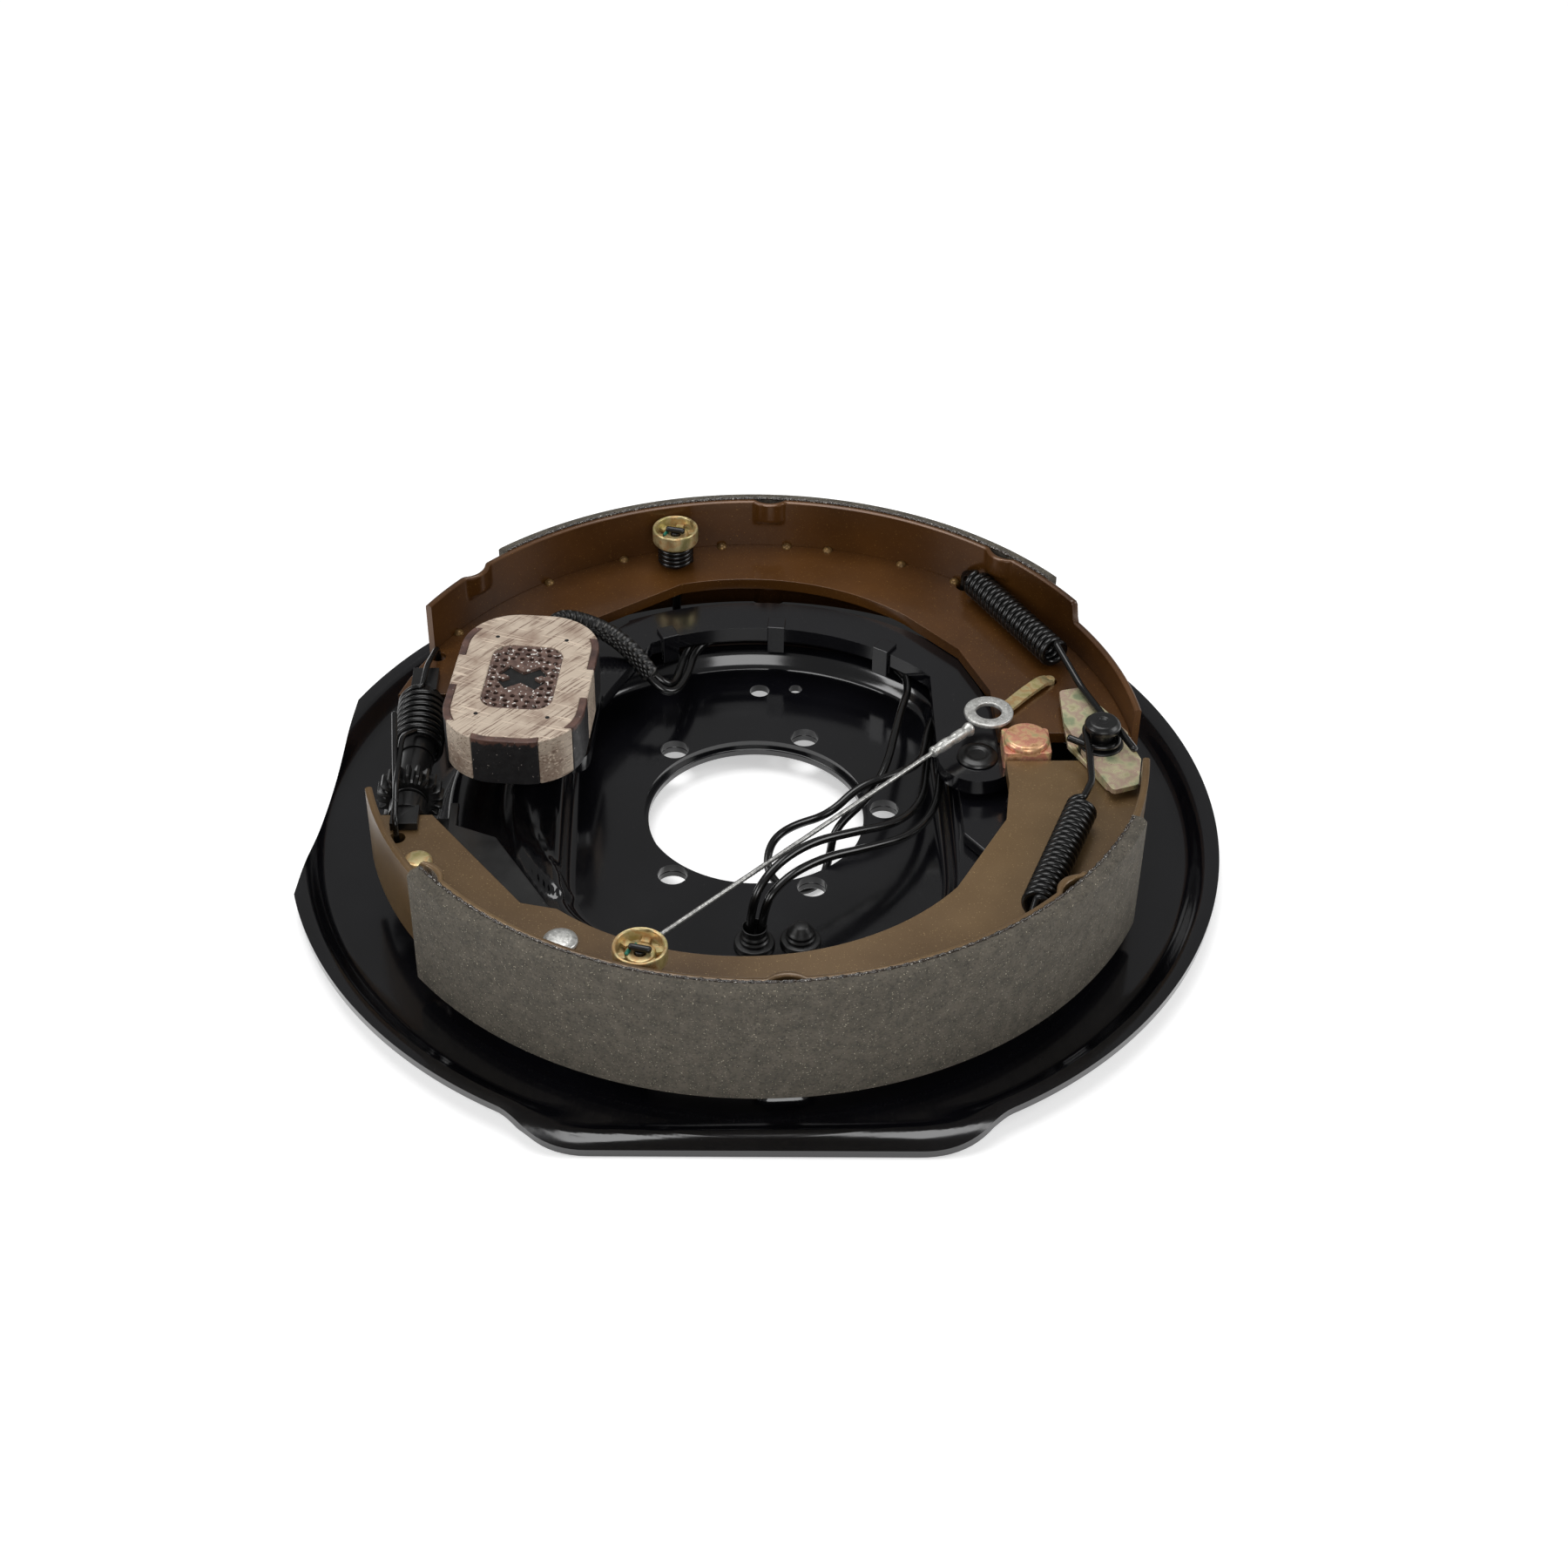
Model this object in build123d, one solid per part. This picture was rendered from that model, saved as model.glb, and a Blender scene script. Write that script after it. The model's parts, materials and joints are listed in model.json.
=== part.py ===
from build123d import *

import math
import os

os.makedirs("parts", exist_ok=True)

# Electric trailer brake, lying on the back of its plate with the drum side up.
# Millimetres. +Z is the brake axis towards the drum, +X points at the anchor post,
# the primary shoe is on +Y, the secondary on -Y and the adjuster on -X.
# Heights are written from the plane on which the plate's outer ring rests. At the end
# all pieces are lowered, so that the origin is the hub bore's centre in the mounting face.

# Backing plate: a pressed steel dish
plate_thickness = 3.0
lip_radius = 177.0
lip_width = 11.5
lip_top = 10.3
bend = 2.0
ring_outer_radius = 117.0
ring_height = 20.0
recess_radius = 91.0
recess_width = 140.0
recess_corner = 16.0
recess_height = 12.5
recess_draft = 30.0
rib_radius = 89.7
rib_width = 11.0
rib_height = 2.5
left_chord_cut = 10.4
left_chord_angle = 175.0
near_chord_cut = 9.0
near_chord_angle = 269.0

# Hub hole and bolt holes for the axle's brake flange
hub_bore_radius = 41.3
hub_step = 1.7
hub_ring_radius = 62.0
hub_ring_thickness = 3.0
bolt_circle_radius = 49.2
bolt_hole_radius = 5.6
bolt_angles = (0.0, 66.0, 130.0, 230.0, 294.0)
drain_holes = ((2.6, 76.3, 4.0), (17.3, 77.4, 2.7))

# Shoes
shoe_height = 9.7
shoe_width = 50.8
lining_radius = 151.5
lining_thickness = 5.0
table_thickness = 2.6
web_thickness = 4.8
web_offset = 24.8
nib_radius = 8.5
nib_height = 9.0
nib_inset = 3.0
primary_table_angles = (29.0, 151.8)
primary_toe_angle = 4.0
primary_lining_angles = (36.3, 133.0)
primary_nib_angles = (46.0, 87.0, 140.0)
secondary_table_angles = (216.2, 320.5)
secondary_heel_angle = 193.5
secondary_toe_angle = 352.5
secondary_lining_angles = (216.8, 334.8)
secondary_nib_angles = (218.5, 273.0, 317.0)
tab_margin = 8.5

# Anchor post and what it carries
anchor_x = 130.0
anchor_base_radius = 10.0
anchor_shank_radius = 6.0
anchor_neck_radius = 8.5
anchor_hook_radius = 4.5
anchor_head_radius = 6.8
anchor_top = 55.5
seat_clearance = 0.4
anchor_plate_thickness = 5.0
guide_plate_thickness = 2.2
plate_gap = 0.3

# Magnet lever
lever_pivot = (84.3, 4.5)
lever_thickness = 6.0
lever_top = 34.2
lever_disc_radius = 15.0
lever_bore_radius = 6.06
pivot_clearance = 0.06
stud_shank_radius = 5.0
arm_outer_radius = 108.0
arm_width = 18.0
block_centre = (102.5, 4.5)
block_size = (18.0, 15.6)
block_top = 42.0
block_rivet_radius = 8.8
block_rivet_height = 2.6

# Magnet
magnet_centre = (-88.5, 22.2)
magnet_tilt = -5.8
magnet_size = (53.0, 81.0)
magnet_corner = 21.5
magnet_height = 20.0
magnet_face = 60.2
magnet_travel = 3.0
window_size = (27.0, 40.0)
window_corner = 7.0
magnet_wall = 5.0
channel_depth = 2.8
groove_width = 4.0
groove_depth = 13.0
stud_radius = 4.5

# Adjuster
adjuster_x = -128.5
adjuster_sleeve_radius = 7.0
primary_web_end = 39.0
secondary_web_end = -34.4
fork_gap = 0.4
fork_depth = 13.0
fork_width = 10.0
fork_ear = 3.2
star_radius = 12.2
star_teeth = 20
star_width = 7.5
star_y = -20.0
screw_radius = 4.7
screw_clearance = 0.06

# Springs and cable
retractor_wire = 2.4
hold_down_angles = (103.7, 251.8)
hold_down_radii = (134.0, 131.0)
hold_down_seats = (9.5, 11.0)
hold_down_cup_radius = 9.4
hold_down_cup_top = 57.0
hold_down_pin_radius = 1.8
cable_radius = 1.1
lead_diameter = 3.2

lip_root_radius = lip_radius - lip_width
arm_inner_radius = arm_outer_radius - arm_width
web_bottom = shoe_height + web_offset
web_top = web_bottom + web_thickness
web_middle = (web_bottom + web_top) / 2
table_outer = lining_radius - lining_thickness
table_inner = table_outer - table_thickness
shoe_top = shoe_height + shoe_width
magnet_bottom = magnet_face - magnet_height
lever_bottom = lever_top - lever_thickness
anchor_plate_top = ring_height + anchor_plate_thickness
seat_radius = anchor_neck_radius + seat_clearance


def polar(radius, degrees):
    """Point at a radius and an angle from +X."""
    angle = math.radians(degrees)
    return (radius * math.cos(angle), radius * math.sin(angle))


def sector(inner, outer, start, end, bottom, top):
    """Solid ring sector between two angles and two heights."""
    arc_out = CenterArc((0, 0), outer, start, end - start)
    arc_in = CenterArc((0, 0), inner, start, end - start)
    sides = [Line(arc_in @ 0, arc_out @ 0), Line(arc_in @ 1, arc_out @ 1)]
    face = make_face([arc_out, arc_in] + sides)
    return Pos(0, 0, bottom) * extrude(face, amount=top - bottom)


def disc(x, y, bottom, top, radius):
    """Upright cylinder between two heights."""
    return Pos(x, y, (bottom + top) / 2) * Cylinder(radius, top - bottom)


def block(x0, x1, y0, y1, z0, z1):
    """Box given by its limits."""
    return Pos((x0 + x1) / 2, (y0 + y1) / 2, (z0 + z1) / 2) * Box(x1 - x0, y1 - y0, z1 - z0)


def along_y(x, z, y0, y1, radius):
    """Cylinder lying along Y."""
    return Pos(x, (y0 + y1) / 2, z) * Rot(90, 0, 0) * Cylinder(radius, y1 - y0)


def emboss(sheet, outline, base, height, draft):
    """Press a hollow boss with this outline out of the sheet's upper face."""
    outside = Pos(0, 0, base) * extrude(outline, amount=height, taper=draft)
    inside = Pos(0, 0, -plate_thickness) * outside
    return sheet + outside - inside


def bar(points, width, sides=6):
    """Wire of polygonal section with mitred corners through the points."""
    path = Polyline(*points)
    section = Plane(origin=path @ 0, z_dir=path % 0) * RegularPolygon(width / 2, sides)
    return sweep(section, path=path, transition=Transition.RIGHT)


def flat_face(*corners):
    """Flat face with straight sides."""
    return Face(Wire.make_polygon(corners, close=True))


def coil(radius, wire, pitch, turns, segments=10, end_radius=None):
    """Helical spring along +Z from the origin, as flat faces between square sections on edge."""
    steps = round(turns * segments)
    half = wire / math.sqrt(2)
    sections = []
    for step in range(steps + 1):
        angle = 2 * math.pi * step / segments
        reach = radius if end_radius is None else radius + (end_radius - radius) * step / steps
        out = Vector(math.cos(angle), math.sin(angle), 0)
        centre = out * reach + Vector(0, 0, pitch * step / segments)
        lift = Vector(0, 0, half)
        sections.append([centre + out * half, centre + lift, centre - out * half, centre - lift])
    faces = [flat_face(*sections[0]), flat_face(*sections[-1])]
    for here, after in zip(sections, sections[1:]):
        for side in range(4):
            beside = (side + 1) % 4
            faces.append(flat_face(here[side], here[beside], after[beside]))
            faces.append(flat_face(here[side], after[beside], after[side]))
    return Solid(Shell(faces))


def cut_rectangle(width, height, corner):
    """Rectangle with its corners cut off at 45 degrees."""
    return chamfer(Rectangle(width, height).vertices(), corner)


def towards(start, end):
    """Location at start with its Z axis towards end."""
    direction = Vector(*end) - Vector(*start)
    return Location(Plane(origin=start, z_dir=direction))


# Backing plate
shoulder = [(ring_outer_radius - bend, ring_height), (ring_outer_radius + 1, ring_height - bend)]
slope_foot = (ring_outer_radius + 5.5, plate_thickness)
lip_foot = [(lip_root_radius - bend, plate_thickness), (lip_root_radius + 1, plate_thickness + bend)]
lip_head = [(lip_root_radius + 6.0, lip_top), (lip_radius, lip_top)]
lip_under = [(lip_radius, lip_top - plate_thickness), (lip_root_radius + 7.3, lip_top - plate_thickness)]
under = [(lip_root_radius + 1.5, 0), (ring_outer_radius + 3.5, 0)]
ring_under = [(ring_outer_radius - 2.0, ring_height - plate_thickness), (60, ring_height - plate_thickness)]
profile = make_face(
    Polyline(
        (60, ring_height), *shoulder, slope_foot, *lip_foot, *lip_head, *lip_under, *under,
        *ring_under, close=True,
    )
)
pressing = revolve(Plane.XZ * profile, Axis.Z)
floor_outline = Circle(recess_radius) & Rectangle(recess_width, 3 * recess_radius)
floor_outline = fillet(floor_outline.vertices(), recess_corner)
recess_wall = ring_height - recess_height
recess_outside = Pos(0, 0, recess_height - plate_thickness) * extrude(
    offset(floor_outline, 1.6), amount=recess_wall + plate_thickness, taper=-recess_draft
)
recess_inside = Pos(0, 0, recess_height) * extrude(
    floor_outline, amount=recess_wall + 1, taper=-recess_draft
)
backing_plate = pressing + recess_outside - recess_inside
backing_plate -= disc(0, 0, 0, ring_height, hub_bore_radius + hub_step)
for angle in bolt_angles:
    backing_plate -= disc(*polar(bolt_circle_radius, angle), 0, ring_height, bolt_hole_radius)
for x, y, radius in drain_holes:
    backing_plate -= disc(x, y, 0, ring_height, radius)
pad_angles = primary_nib_angles + secondary_nib_angles
for angle in pad_angles:
    pad = Pos(*polar(table_inner - 2.5, angle)) * Rot(0, 0, angle) * cut_rectangle(15, 17, 4)
    backing_plate = emboss(backing_plate, pad, plate_thickness, shoe_height - 3.3, 12)
for angle, radius, seat_size in zip(hold_down_angles, hold_down_radii, hold_down_seats):
    seat = Pos(*polar(radius, angle)) * Circle(seat_size)
    backing_plate = emboss(backing_plate, seat, plate_thickness, 5.5, 20)
    backing_plate -= disc(*polar(radius, angle), 0, ring_height, hold_down_pin_radius + 0.5)
rib = SlotArc(CenterArc((0, 0), rib_radius, 150, 66), rib_width)
backing_plate = emboss(backing_plate, rib, ring_height, rib_height, 30)
adjuster_slot = Pos(adjuster_x, star_y) * Rot(0, 0, 90) * SlotOverall(26, 10)
backing_plate -= extrude(adjuster_slot, amount=plate_thickness)
anchor_pad = Pos(anchor_x - 9.0, 0) * cut_rectangle(48.0, 44.0, 13.0)
backing_plate = emboss(
    backing_plate, anchor_pad, plate_thickness, ring_height - plate_thickness, 15
)
for angle, depth in ((left_chord_angle, left_chord_cut), (near_chord_angle, near_chord_cut)):
    trim = Rot(0, 0, angle) * block(lip_radius - depth, lip_radius + 20, -90, 90, -1, 20)
    backing_plate -= trim
backing_plate -= disc(anchor_x, 0, 0, ring_height + 1, anchor_shank_radius)
grommet_place = (-1.8, -76.7)
spare_place = (14.9, -75.5)
for place in (grommet_place, spare_place):
    backing_plate -= disc(*place, 0, ring_height, 5.0)

# Ring welded behind the recess round the hub hole, whose back is the mounting face
recess_back = recess_height - plate_thickness
mounting_face = recess_back - hub_ring_thickness
hub_ring = disc(0, 0, mounting_face, recess_back, hub_ring_radius)
hub_ring -= disc(0, 0, 0, ring_height, hub_bore_radius)
for angle in bolt_angles:
    hub_ring -= disc(*polar(bolt_circle_radius, angle), 0, ring_height, bolt_hole_radius)

# Plug of the adjusting slot, and the two grommets in the recess
slot_plug = extrude(Pos(adjuster_x, star_y) * Rot(0, 0, 90) * SlotOverall(25.8, 9.8), amount=3)
slot_plug += Pos(0, 0, plate_thickness) * extrude(
    Pos(adjuster_x, star_y) * Rot(0, 0, 90) * SlotOverall(29, 13), amount=1.4, taper=20
)


seated = (Align.CENTER, Align.CENTER, Align.MIN)


def grommet(place, height, bore):
    """Rubber grommet snapped into a hole of the recess floor."""
    x, y = place
    shape = disc(x, y, recess_back - 2.2, recess_height + height, 4.9)
    shape += disc(x, y, recess_height, recess_height + 2.2, 7.6)
    shape += disc(x, y, recess_back - 2.2, recess_back, 6.8)
    if bore:
        shape -= disc(x, y, 0, 60, bore)
    else:
        shape += Pos(x, y, recess_height + height) * Cone(4.9, 2.5, 3.0, align=seated)
    return shape


lead_grommet = grommet(grommet_place, 9.0, 4.1)
spare_grommet = grommet(spare_place, 6.0, 0)

# Reinforcement under the anchor and the lever pivot
half_outline = [(77, 0), (77, 30), (86, 43), (99, 40), (132, 18)]
anchor_face = make_face(
    Polyline(*half_outline, *[(x, -y) for x, y in reversed(half_outline[1:])], close=True)
)
anchor_face += Pos(anchor_x, 0) * Circle(13.0)
anchor_plate = Pos(0, 0, ring_height) * extrude(anchor_face, amount=anchor_plate_thickness)
anchor_plate -= disc(anchor_x, 0, 0, 60, anchor_shank_radius)
anchor_plate -= disc(*lever_pivot, 0, 60, stud_shank_radius)

# Anchor post, turned in one piece and riveted into the plate
hook_low = 44.9
rivet_top = ring_height - plate_thickness
rivet_bottom = rivet_top - 3.5
hook_high = 51.4
post_profile = make_face(
    Polyline(
        (0, rivet_bottom), (9.0, rivet_bottom), (9.0, rivet_top), (anchor_shank_radius, rivet_top),
        (anchor_shank_radius, anchor_plate_top), (anchor_base_radius, anchor_plate_top),
        (anchor_base_radius, web_bottom - 0.3), (anchor_neck_radius, web_bottom - 0.3),
        (anchor_neck_radius, hook_low), (anchor_hook_radius, hook_low),
        (anchor_hook_radius, hook_high), (anchor_head_radius, hook_high),
        (anchor_head_radius, anchor_top - 2.4), (anchor_head_radius - 2.2, anchor_top - 0.5),
        (0, anchor_top), close=True,
    )
)
anchor_post = Pos(anchor_x, 0, 0) * revolve(Plane.XZ * post_profile, Axis.Z)

# Zinc guide plates on the post, over the ends of the shoes
lower_outline = [(118, 15), (118, 2), (124, -10), (130, -24), (140, -21), (142, 10), (134, 25), (124, 25)]
upper_outline = [(118, 33), (126, 35), (137, 16), (144, -10), (141, -25), (131, -28.5), (124, -10), (117.5, 13)]


def guide_plate(outline, bottom):
    """Flat plate with a hole for the post's neck."""
    face = fillet(make_face(Polyline(*outline, close=True)).vertices(), 2.0)
    plate = Pos(0, 0, bottom) * extrude(face, amount=guide_plate_thickness)
    return plate - disc(anchor_x, 0, bottom - 1, bottom + 9, anchor_neck_radius + 0.1)


guide_plate_lower = guide_plate(lower_outline, web_top + plate_gap)
guide_plate_upper = guide_plate(upper_outline, web_top + 2 * plate_gap + guide_plate_thickness)


# Shoes
def shoe_table(full_angles, tabs, nibs):
    """Rolled table: a band with narrower tabs at its ends and pressed nibs on its edges."""
    table = sector(table_inner, table_outer, *full_angles, shoe_height, shoe_top)
    for start, end in tabs:
        table += sector(
            table_inner, table_outer, start, end, shoe_height + tab_margin, shoe_top - tab_margin
        )
    ring = disc(0, 0, 0, 99, table_outer) - disc(0, 0, 0, 99, table_inner - nib_inset)
    for angle in nibs:
        centre = polar(table_outer + nib_inset, angle)
        for bottom in (shoe_height, shoe_top - nib_height):
            top = bottom + nib_height
            dent = disc(*centre, bottom, top, nib_radius)
            table = table - dent + (dent & ring - disc(*centre, 0, 99, nib_radius - table_thickness))
    return table


def shoe_lining(angles):
    """Moulded lining with chamfered upper and lower edges."""
    start, end = angles
    band = 1.6
    lining = sector(table_outer, lining_radius, start, end, shoe_height + band, shoe_top - band)
    wedge = make_face(
        Polyline(
            (table_outer, 0), (lining_radius, 0), (lining_radius - band, band),
            (table_outer, band), close=True,
        )
    )
    upper = Rot(0, 0, start) * revolve(Plane.XZ * wedge, Axis.Z, revolution_arc=end - start)
    lower = mirror(upper, Plane.XY)
    return lining + Pos(0, 0, shoe_top - band) * upper + Pos(0, 0, shoe_height + band) * lower


def web_solid(face):
    """Web plate of the given outline."""
    return Pos(0, 0, web_bottom) * extrude(face, amount=web_thickness)


primary_table = shoe_table(
    primary_table_angles, [(primary_toe_angle, primary_table_angles[0])], primary_nib_angles
)
secondary_table = shoe_table(
    secondary_table_angles,
    [(secondary_heel_angle, secondary_table_angles[0]), (secondary_table_angles[1], secondary_toe_angle)],
    secondary_nib_angles,
)
primary_lining = shoe_lining(primary_lining_angles)
secondary_lining = shoe_lining(secondary_lining_angles)

fork_half = 9.5
primary_gap_y = block_centre[1] + block_size[1] / 2 + 0.4
secondary_gap_y = block_centre[1] - block_size[1] / 2 - 0.9
primary_inner = [
    (-29.4, 114.1), (adjuster_x + fork_half + 1, 52.0), (adjuster_x + fork_half, primary_web_end),
    (adjuster_x - fork_half, primary_web_end), polar(table_inner, 164.5),
]
primary_outer_arc = CenterArc((0, 0), table_inner, 4.0, 160.5)
primary_web_face = make_face(
    [
        primary_outer_arc,
        Polyline(*reversed(primary_inner)),
        ThreePointArc((-29.4, 114.1), (20.0, 115.0), (62.3, 91.0)),
        Polyline(
            (62.3, 91.0), (81.8, 67.8), (92.0, 40.0), (93.0, primary_gap_y),
            (anchor_x - 1, primary_gap_y), (anchor_x - 1, 7.0), (anchor_x + 8, 7.0), primary_outer_arc @ 0,
        ),
    ]
)
secondary_outer_arc = CenterArc((0, 0), table_inner, 194.0, 162.0)
secondary_web_face = make_face(
    [
        secondary_outer_arc,
        Polyline(
            secondary_outer_arc @ 0, (adjuster_x - fork_half, secondary_web_end),
            (adjuster_x + fork_half, secondary_web_end), (-84.0, -83.0), (-71.0, -86.3),
        ),
        ThreePointArc((-71.0, -86.3), (0.0, -111.0), (70.0, -76.0)),
        Polyline(
            (70.0, -76.0), (91.0, -38.6), (94.0, -18.0), (94.0, secondary_gap_y),
            (anchor_x - 1, secondary_gap_y), (anchor_x - 1, -7.0), (anchor_x + 8, -7.0), secondary_outer_arc @ 1,
        ),
    ]
)
seat_cut = disc(anchor_x, 0, 0, 99, seat_radius)
primary_web = web_solid(primary_web_face) - seat_cut
secondary_web = web_solid(secondary_web_face) - seat_cut
for web_index, (angle, radius) in enumerate(zip(hold_down_angles, hold_down_radii)):
    pin_hole = disc(*polar(radius, angle), 0, 99, 4.6)
    if web_index == 0:
        primary_web -= pin_hole
    else:
        secondary_web -= pin_hole
primary_spring_hole = (87.5, 112.0)
secondary_spring_hole = (93.0, -100.5)
strip_hole = (115.9, 46.0)
adjuster_hole = (-125.2, 63.9)
adjuster_far_hole = (-130.7, -47.4)
for place in (primary_spring_hole, strip_hole, adjuster_hole):
    primary_web -= disc(*place, 0, 99, 3.0)
pawl_pivot = (-69.1, -103.7)
stop_place = (-121.6, -62.0)
pawl_rivet_radius = 3.0
for place, radius in ((secondary_spring_hole, 3.0), (adjuster_far_hole, 3.0)):
    secondary_web -= disc(*place, 0, 99, radius)
for place in (pawl_pivot, stop_place):
    secondary_web -= disc(*place, 0, 99, pawl_rivet_radius)

# Hold-downs
cup_bottom = hold_down_cup_top - 7.0
hold_down_pins = Part()
hold_down_cups = Part()
hold_down_springs = Part()
for angle, radius in zip(hold_down_angles, hold_down_radii):
    x, y = polar(radius, angle)
    seat_back = 5.5
    pin = disc(x, y, seat_back - 1.8, hold_down_cup_top - 2, hold_down_pin_radius)
    pin += disc(x, y, seat_back - 1.8, seat_back - 0.1, 4.0)
    pin += Pos(x, y, hold_down_cup_top - 2) * Box(7.0, 2.4, 2.0)
    hold_down_pins += pin
    cup = disc(x, y, cup_bottom, hold_down_cup_top, hold_down_cup_radius)
    cup -= disc(x, y, cup_bottom + 1.2, hold_down_cup_top + 1, hold_down_cup_radius - 1.2)
    cup += disc(x, y, cup_bottom + 1.2, hold_down_cup_top - 3.2, 5.2)
    cup -= disc(x, y, cup_bottom - 1, hold_down_cup_top + 1, hold_down_pin_radius + 0.2)
    hold_down_cups += cup
    turns = 4
    pitch = (cup_bottom - web_top - 3.0) / turns
    hold_down_springs += Pos(x, y, web_top + 1.5) * coil(6.5, 1.5, pitch, turns)

# Retractor springs, with hooks that pass round the anchor's waist
hook_reach = anchor_hook_radius + retractor_wire / 2 + 0.5


def retractor(far_end, near_end, coil_radius, turns, hook_z, hook_points, end_hole):
    """Close-wound spring with an end in the web's hole and a hook on the post."""
    length = (Vector(*near_end) - Vector(*far_end)).length
    wire_radius = coil_radius - retractor_wire / 2
    barrel = coil(wire_radius, retractor_wire, length / turns, turns, 8)
    frame = towards(far_end, near_end)
    spring = frame * barrel
    far_wire = tuple((frame * Pos(wire_radius, 0, 0.3)).position)
    near_wire = tuple((frame * Pos(wire_radius, 0, length - 0.3)).position)
    spring += bar([far_wire, (*end_hole, far_end[2] - 0.4), (*end_hole, web_bottom - 1)], retractor_wire)
    spring += bar([near_wire, *[(x, y, hook_z) for x, y in hook_points]], retractor_wire)
    return spring


primary_hook = [
    (126.5, 32.0), (anchor_x + 2.0, 16.0), (anchor_x + hook_reach, 4.0), (anchor_x + hook_reach, -3.0),
    (anchor_x + 2.5, -hook_reach), (anchor_x - 4, -hook_reach + 1.0), (anchor_x - 12.0, 0.5),
]
secondary_hook = [
    (122.5, -30.0), (anchor_x - hook_reach, -12.0), (anchor_x - hook_reach, 3.0),
    (anchor_x - 2.5, hook_reach), (anchor_x + 3.0, hook_reach), (anchor_x + hook_reach, 2.0),
    (anchor_x + hook_reach + 4.5, -11.0),
]
primary_retractor_spring = retractor(
    (90.0, 107.3, 44.2), (117.5, 56.0, 44.2), 4.4, 16, 46.3, primary_hook, primary_spring_hole
)
secondary_retractor_spring = retractor(
    (95.5, -95.0, 46.0), (118.0, -40.5, 46.0), 6.2, 16, 49.8, secondary_hook, secondary_spring_hole
)

# Adjuster
axis_z = web_middle
ear_inner = web_thickness / 2 + 0.3


def fork(y0, y1):
    """Two ears above and below a web's end."""
    ears = Part()
    for side in (-1, 1):
        low = axis_z + side * ear_inner
        high = axis_z + side * (ear_inner + fork_ear)
        ears += block(
            adjuster_x - fork_width / 2, adjuster_x + fork_width / 2, min(y0, y1), max(y0, y1),
            min(low, high), max(low, high),
        )
    return ears


socket_end = primary_web_end - fork_gap
pin_y = 12.0
socket_start = 1.0
adjuster_socket = along_y(adjuster_x, axis_z, socket_start, socket_end, adjuster_sleeve_radius)
adjuster_socket += fork(socket_end - 1, socket_end + fork_depth)
adjuster_socket -= along_y(adjuster_x, axis_z, socket_start - 1, pin_y + 12, screw_radius + 0.3 + screw_clearance)
nut_end = secondary_web_end + fork_gap
nut_start = star_y - star_width / 2 - 1.5
adjuster_nut = along_y(adjuster_x, axis_z, nut_end, nut_start - 1.0, adjuster_sleeve_radius)
adjuster_nut += fork(nut_end + 1, nut_end - fork_depth + 3.5)
adjuster_nut -= along_y(adjuster_x, axis_z, nut_end + 0.6, nut_start + 3, screw_radius + screw_clearance)
tooth_angle = 360 / star_teeth
star_points = []
for tooth in range(star_teeth):
    star_points += [
        polar(star_radius - 2.4, tooth * tooth_angle),
        polar(star_radius, (tooth + 0.25) * tooth_angle),
        polar(star_radius, (tooth + 0.5) * tooth_angle),
    ]
star_disc = extrude(make_face(Polyline(*star_points, close=True)), amount=star_width)
star_wheel = Pos(adjuster_x, star_y + star_width / 2, axis_z) * Rot(90, 0, 0) * star_disc
star_wheel += along_y(adjuster_x, axis_z, star_y, 0.6, adjuster_sleeve_radius - 0.5)
star_wheel += along_y(adjuster_x, axis_z, 0, pin_y + 10, screw_radius + 0.3)
star_wheel += along_y(adjuster_x, axis_z, nut_end + 1.0, star_y, screw_radius)

spring_start = 7.4
spring_turns = 8
spring_pitch = (socket_end - spring_start - 3) / spring_turns
spring_radius = 8.8
adjuster_spring = (
    Pos(adjuster_x, spring_start, axis_z) * Rot(-90, 0, 0) * Rot(0, 0, -90)
    * coil(spring_radius, 1.7, spring_pitch, spring_turns)
)
coil_low = (adjuster_x, spring_start, axis_z + spring_radius)
coil_high = (adjuster_x, spring_start + spring_pitch * spring_turns, axis_z + spring_radius)
adjuster_spring += bar(
    [coil_low, (-132.0, -3.0, 51.3), (-131.5, -32.0, 51.6), (*adjuster_far_hole, 46.0),
     (*adjuster_far_hole, web_bottom - 1.5)], 2.2
)
adjuster_spring += bar([(-131.0, -39.0, 49.2), (-135.8, 8.0, 53.4)], 2.2)
adjuster_spring += bar(
    [coil_high, (adjuster_x + 1, 48.0, 47.0), (*adjuster_hole, 44.0), (*adjuster_hole, web_bottom - 1.5)], 2.2
)

# Cable of the self adjuster, from a strip on the primary web to the lever of the star wheel
eyelet_place = (89.5, 20.6)
eyelet_z = 42.0
eyelet_radius = 9.5
strip_end = (99.5, 28.5)
strip_line = Vector(strip_end[0] - strip_hole[0], strip_end[1] - strip_hole[1])
strip_angle = math.degrees(math.atan2(strip_line.Y, strip_line.X))
cable_hook = (
    Pos(strip_hole[0], strip_hole[1], web_top + 2.1) * Rot(0, 0, strip_angle)
    * block(-3.0, strip_line.length + 5, -2.6, 2.6, -0.7, 0.7)
)
cable_hook += disc(*strip_hole, web_bottom - 1, web_top + 1.5, 2.2)
cable_eyelet = disc(*eyelet_place, eyelet_z + 0.3, eyelet_z + 2.1, eyelet_radius)
cable_eyelet -= disc(*eyelet_place, 0, 99, 5.0)
ferrule_start = (81.4, 11.2, 42.6)
ferrule_end = (66.8, -1.6, 41.6)
cable_end = (-43.0, -101.5, 33.2)
ferrule_place = towards(ferrule_start, ferrule_end)
ferrule_length = (Vector(*ferrule_end) - Vector(*ferrule_start)).length
cable_ferrule = ferrule_place * (Pos(0, 0, ferrule_length / 2 - 1) * Cylinder(2.3, ferrule_length + 2))
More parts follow.
